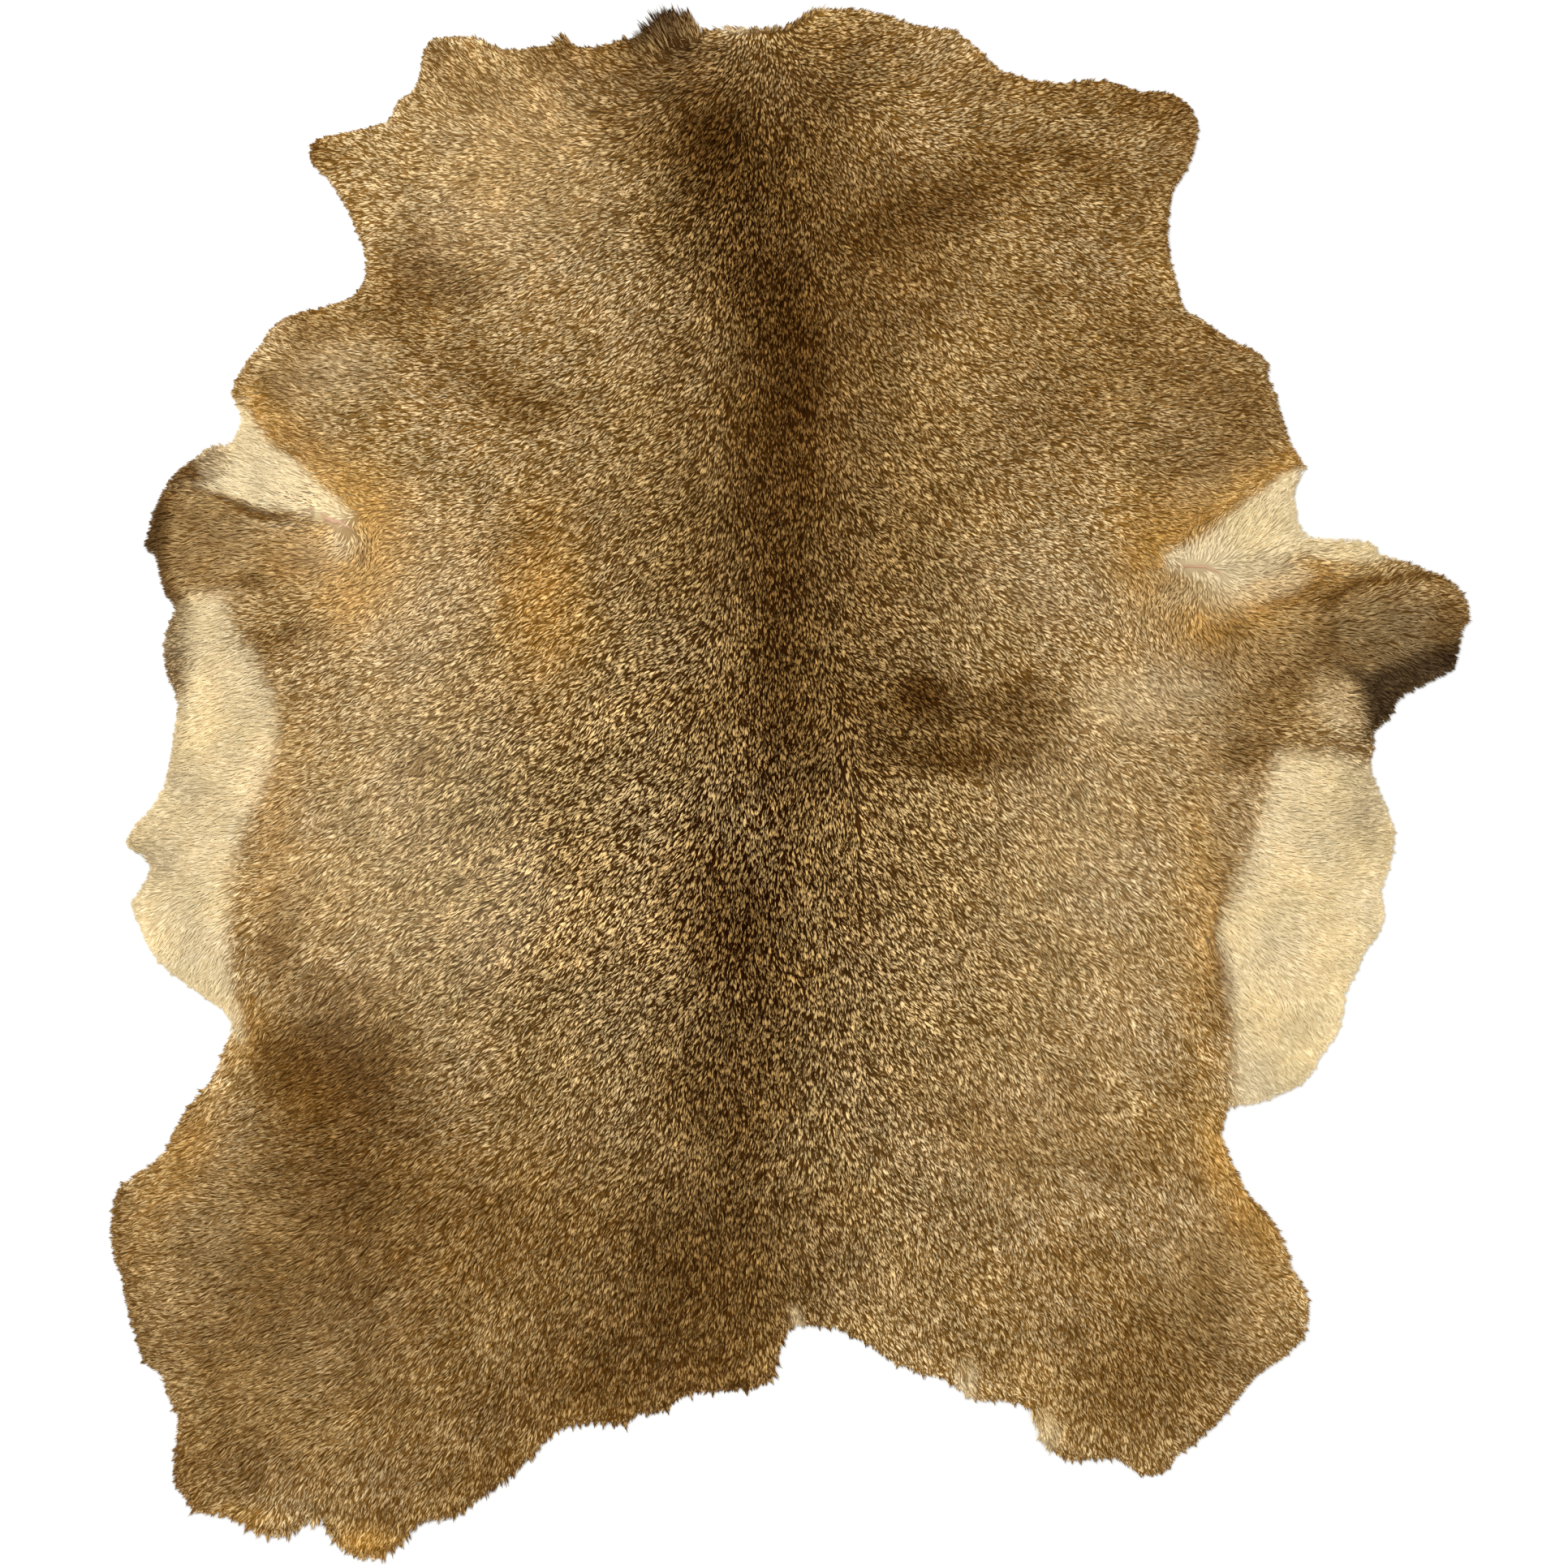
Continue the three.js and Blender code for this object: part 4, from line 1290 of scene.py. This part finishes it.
def make_skin(sizes, colours):
    """The tanned skin: a flat sheet cut to the hide's edge, suede below."""
    ring = cut_edge()
    mesh = bpy.data.meshes.new("skin")
    points = [(x * MM, y * MM, 0) for x, y in ring[::-1]]
    mesh.from_pydata(points, [], [range(len(points))])
    skin = place(mesh, "skin")
    select_only(skin)
    bpy.ops.object.mode_set(mode="EDIT")
    bpy.ops.mesh.select_all(action="SELECT")
    bpy.ops.mesh.quads_convert_to_tris(ngon_method="BEAUTY")
    bpy.ops.object.mode_set(mode="OBJECT")
    thicken(skin, sizes.skin, 1)
    mesh.materials.append(leather_material("Suede", tuple(colours.suede), 700, 0.92, 0.6))
    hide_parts("hide")
    return skin


def make_underfur(share):
    """The wool under the coat: the solid's own surface, sunk, and closed below inside the skin."""
    wool = bmesh.new()
    wool.from_mesh(HIDE.data)
    bmesh.ops.remove_doubles(wool, verts=wool.verts, dist=1e-6)
    wool.normal_update()
    least = UNDERFUR_LEAST * MM
    others = [f for f in wool.faces if f.normal.z < UNDERFUR_STEEP or min(v.co.z for v in f.verts) < least]
    bmesh.ops.delete(wool, geom=others, context="FACES")
    for vert in wool.verts:
        vert.co.x *= UNDERFUR_DRAWN_IN
        vert.co.y *= UNDERFUR_DRAWN_IN
        vert.co.z = UNDERFUR_BASE * MM + share * (vert.co.z - UNDERFUR_DROP * MM)
    rim = [edge for edge in wool.edges if edge.is_boundary]
    wall = bmesh.ops.extrude_edge_only(wool, edges=rim)["geom"]
    for vert in (part for part in wall if isinstance(part, bmesh.types.BMVert)):
        vert.co.z = UNDERFUR_BASE * MM
    bmesh.ops.triangle_fill(wool, edges=[e for e in wool.edges if e.is_boundary], use_beauty=True)
    bmesh.ops.recalc_face_normals(wool, faces=wool.faces)
    mesh = bpy.data.meshes.new("underfur")
    wool.to_mesh(mesh)
    wool.free()
    points = np.empty(3 * len(mesh.vertices))
    mesh.vertices.foreach_get("co", points)
    shares = pigments(points.reshape(-1, 3)[:, :2] / MM)
    for name in PIGMENT_ORDER:
        give(mesh, name, shares[name])
    mesh.materials.append(underfur_material())
    underfur = place(mesh, "underfur")
    return underfur


def make_bare_fold(name, fold, colours):
    """A low fold of bare skin between the hair of an armpit."""
    select_only(HIDE)
    HIDE.select_set(False)
    bpy.ops.mesh.primitive_grid_add(x_subdivisions=FOLD_STEPS[0], y_subdivisions=FOLD_STEPS[1], size=1)
    grid = bpy.context.object
    mesh = grid.data
    path = np.array(fold["path"], float)
    reach = np.concatenate([[0], np.cumsum(np.linalg.norm(np.diff(path, axis=0), axis=1))])
    for vert in mesh.vertices:
        along, across = vert.co.x + 0.5, 2 * vert.co.y
        station = along * reach[-1]
        behind, (x, y), ahead = (
            np.array([np.interp(station + step, reach, path[:, k]) for k in (0, 1)])
            for step in (-FOLD_STEP, 0, FOLD_STEP)
        )
        way = unit(ahead - behind)
        taper = math.sin(math.pi * min(max(along, 0.02), 0.98)) ** 0.6
        half = across * fold["width"] / 2 * taper
        ripple = sum(size * math.sin(turn * along + start) for size, turn, start in FOLD_RIPPLES)
        x, y = x - way[1] * (half + ripple), y + way[0] * (half + ripple)
        surface = coat_height(np.array([[x, y]]))[0]
        lift = fold["rise"] * taper * (1 - across**2)
        lift -= FOLD_SIDE_DROP * across**2 + FOLD_END_DROP * (1 - taper)
        vert.co = (x * MM, y * MM, (FOLD_LEVEL * surface + lift) * MM)
    select_only(grid)
    thicken(grid, FOLD_THICKNESS * MM, -1)
    bpy.ops.object.shade_smooth()
    grid.name = mesh.name = f"bare_skin_{name}"
    mesh.materials.append(leather_material(f"Bare skin {name}", tuple(colours.skin), 1500, 0.55, 0.3))
    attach(grid, "root")
    return grid


# The stage, in metres but for the camera's sensor.
FLOOR_SIZE = 14
FLOOR_DROP = 0.0004  # keeps the floor off the skin's underside
KEY_PLACE = Vector((-1.2, 1.3, 3.2))  # it points at the origin
KEY_SIZE = 1.8
SENSOR = 36


class HIDE_OT_skin(Operator):
    """Cut the tanned skin"""

    bl_idname = "hide.skin"
    bl_label = "Skin"

    def execute(self, context):
        make_skin(context.scene.hide_sizes, context.scene.hide_colours)
        return {"FINISHED"}


class HIDE_OT_underfur(Operator):
    """Lay the underfur on the skin"""

    bl_idname = "hide.underfur"
    bl_label = "Underfur"

    def execute(self, context):
        make_underfur(context.scene.hide_sizes.underfur)
        return {"FINISHED"}


class HIDE_OT_coat(Operator):
    """Grow the coat, one piece for each part of the animal"""

    bl_idname = "hide.coat"
    bl_label = "Coat"

    def execute(self, context):
        random = np.random.default_rng(SEED)
        roots, depth = body_roots(context.scene.hide_sizes.locks, random)
        locks = grow(roots, depth, random)
        middles = np.array([row[1:] for row in COAT_PIECES], float)
        owner = np.linalg.norm(roots[:, None] - middles[None], axis=-1).argmin(axis=1)
        for number, (name, *_) in enumerate(COAT_PIECES):
            mine = owner == number
            lay_locks(name, {key: value[mine] for key, value in locks.items()}, coat_material())
        return {"FINISHED"}


class HIDE_OT_rim(Operator):
    """Grow the pointed tufts along the cut edge"""

    bl_idname = "hide.rim"
    bl_label = "Rim"

    def execute(self, context):
        sizes = context.scene.hide_sizes
        random = np.random.default_rng(SEED + 1)
        lay_locks("coat_rim", rim_locks(sizes.rim_pitch / MM, sizes.tuft / MM, random), coat_material())
        lay_locks("coat_tufts", tuft_locks(random), coat_material())
        return {"FINISHED"}


class HIDE_OT_bare_skin(Operator):
    """Raise the folds of bare skin in the armpits"""

    bl_idname = "hide.bare_skin"
    bl_label = "Bare skin"

    def execute(self, context):
        for name, fold in BARE_FOLDS.items():
            make_bare_fold(name, fold, context.scene.hide_colours)
        return {"FINISHED"}


class HIDE_OT_stage(Operator):
    """Set the floor, the light and the camera"""

    bl_idname = "hide.stage"
    bl_label = "Stage"

    def execute(self, context):
        stage = context.scene.hide_stage
        context.scene.view_settings.view_transform = "Standard"
        select_only(HIDE)
        HIDE.select_set(False)
        bpy.ops.mesh.primitive_plane_add(size=FLOOR_SIZE, location=(0, 0, -FLOOR_DROP))
        floor = context.object
        floor.name = "floor"
        material, bench = new_material("Floor")
        add_shader(bench, tuple(stage.floor), roughness=0.8, specular=0.1)
        floor.data.materials.append(material)

        bpy.ops.object.light_add(type="AREA", location=KEY_PLACE)
        key = context.object
        key.data.shape = "SQUARE"
        key.data.size = KEY_SIZE
        key.data.energy = stage.key
        key.rotation_euler = (-KEY_PLACE).to_track_quat("-Z", "Y").to_euler()

        world = bpy.data.worlds.new("Studio")
        world.use_nodes = True
        sky = world.node_tree.nodes["Background"]
        sky.inputs["Color"].default_value = (1, 1, 1, 1)
        sky.inputs["Strength"].default_value = stage.sky
        context.scene.world = world

        bpy.ops.object.camera_add(location=(*stage.aim, stage.height), rotation=(0, 0, 0))
        camera = context.object
        camera.data.sensor_width = SENSOR
        camera.data.lens = SENSOR * stage.height / stage.view
        camera.data.clip_end = 50
        context.scene.camera = camera
        return {"FINISHED"}


BUILD_ORDER = (HIDE_OT_skin, HIDE_OT_underfur, HIDE_OT_coat, HIDE_OT_rim, HIDE_OT_bare_skin, HIDE_OT_stage)


class HIDE_PT_panel(Panel):
    """Settings and steps of the hide"""

    bl_idname = "HIDE_PT_panel"
    bl_label = "Deer hide rug"
    bl_space_type = "VIEW_3D"
    bl_region_type = "UI"
    bl_category = "Hide"

    def draw(self, context):
        column = self.layout.column()
        for group in (context.scene.hide_sizes, context.scene.hide_colours, context.scene.hide_stage):
            for name in group.bl_rna.properties.keys():
                if name not in ("rna_type", "name"):
                    column.prop(group, name)
        for step in BUILD_ORDER:
            column.operator(step.bl_idname)


CLASSES = (HideSizes, HideColours, HideStage, *BUILD_ORDER, HIDE_PT_panel)


def register():
    for kind in CLASSES:
        bpy.utils.register_class(kind)
    bpy.types.Scene.hide_sizes = PointerProperty(type=HideSizes)
    bpy.types.Scene.hide_colours = PointerProperty(type=HideColours)
    bpy.types.Scene.hide_stage = PointerProperty(type=HideStage)


def unregister():
    del bpy.types.Scene.hide_stage
    del bpy.types.Scene.hide_colours
    del bpy.types.Scene.hide_sizes
    for kind in reversed(CLASSES):
        bpy.utils.unregister_class(kind)


def declare_sheet():
    """Reads the skin's cut edge in metres, and does nothing more with it."""
    ring = cut_edge() * MM


def main():
    register()
    for step in BUILD_ORDER:
        group, name = step.bl_idname.split(".")
        getattr(getattr(bpy.ops, group), name)()
    declare_sheet()


if __name__ == "__main__":
    main()
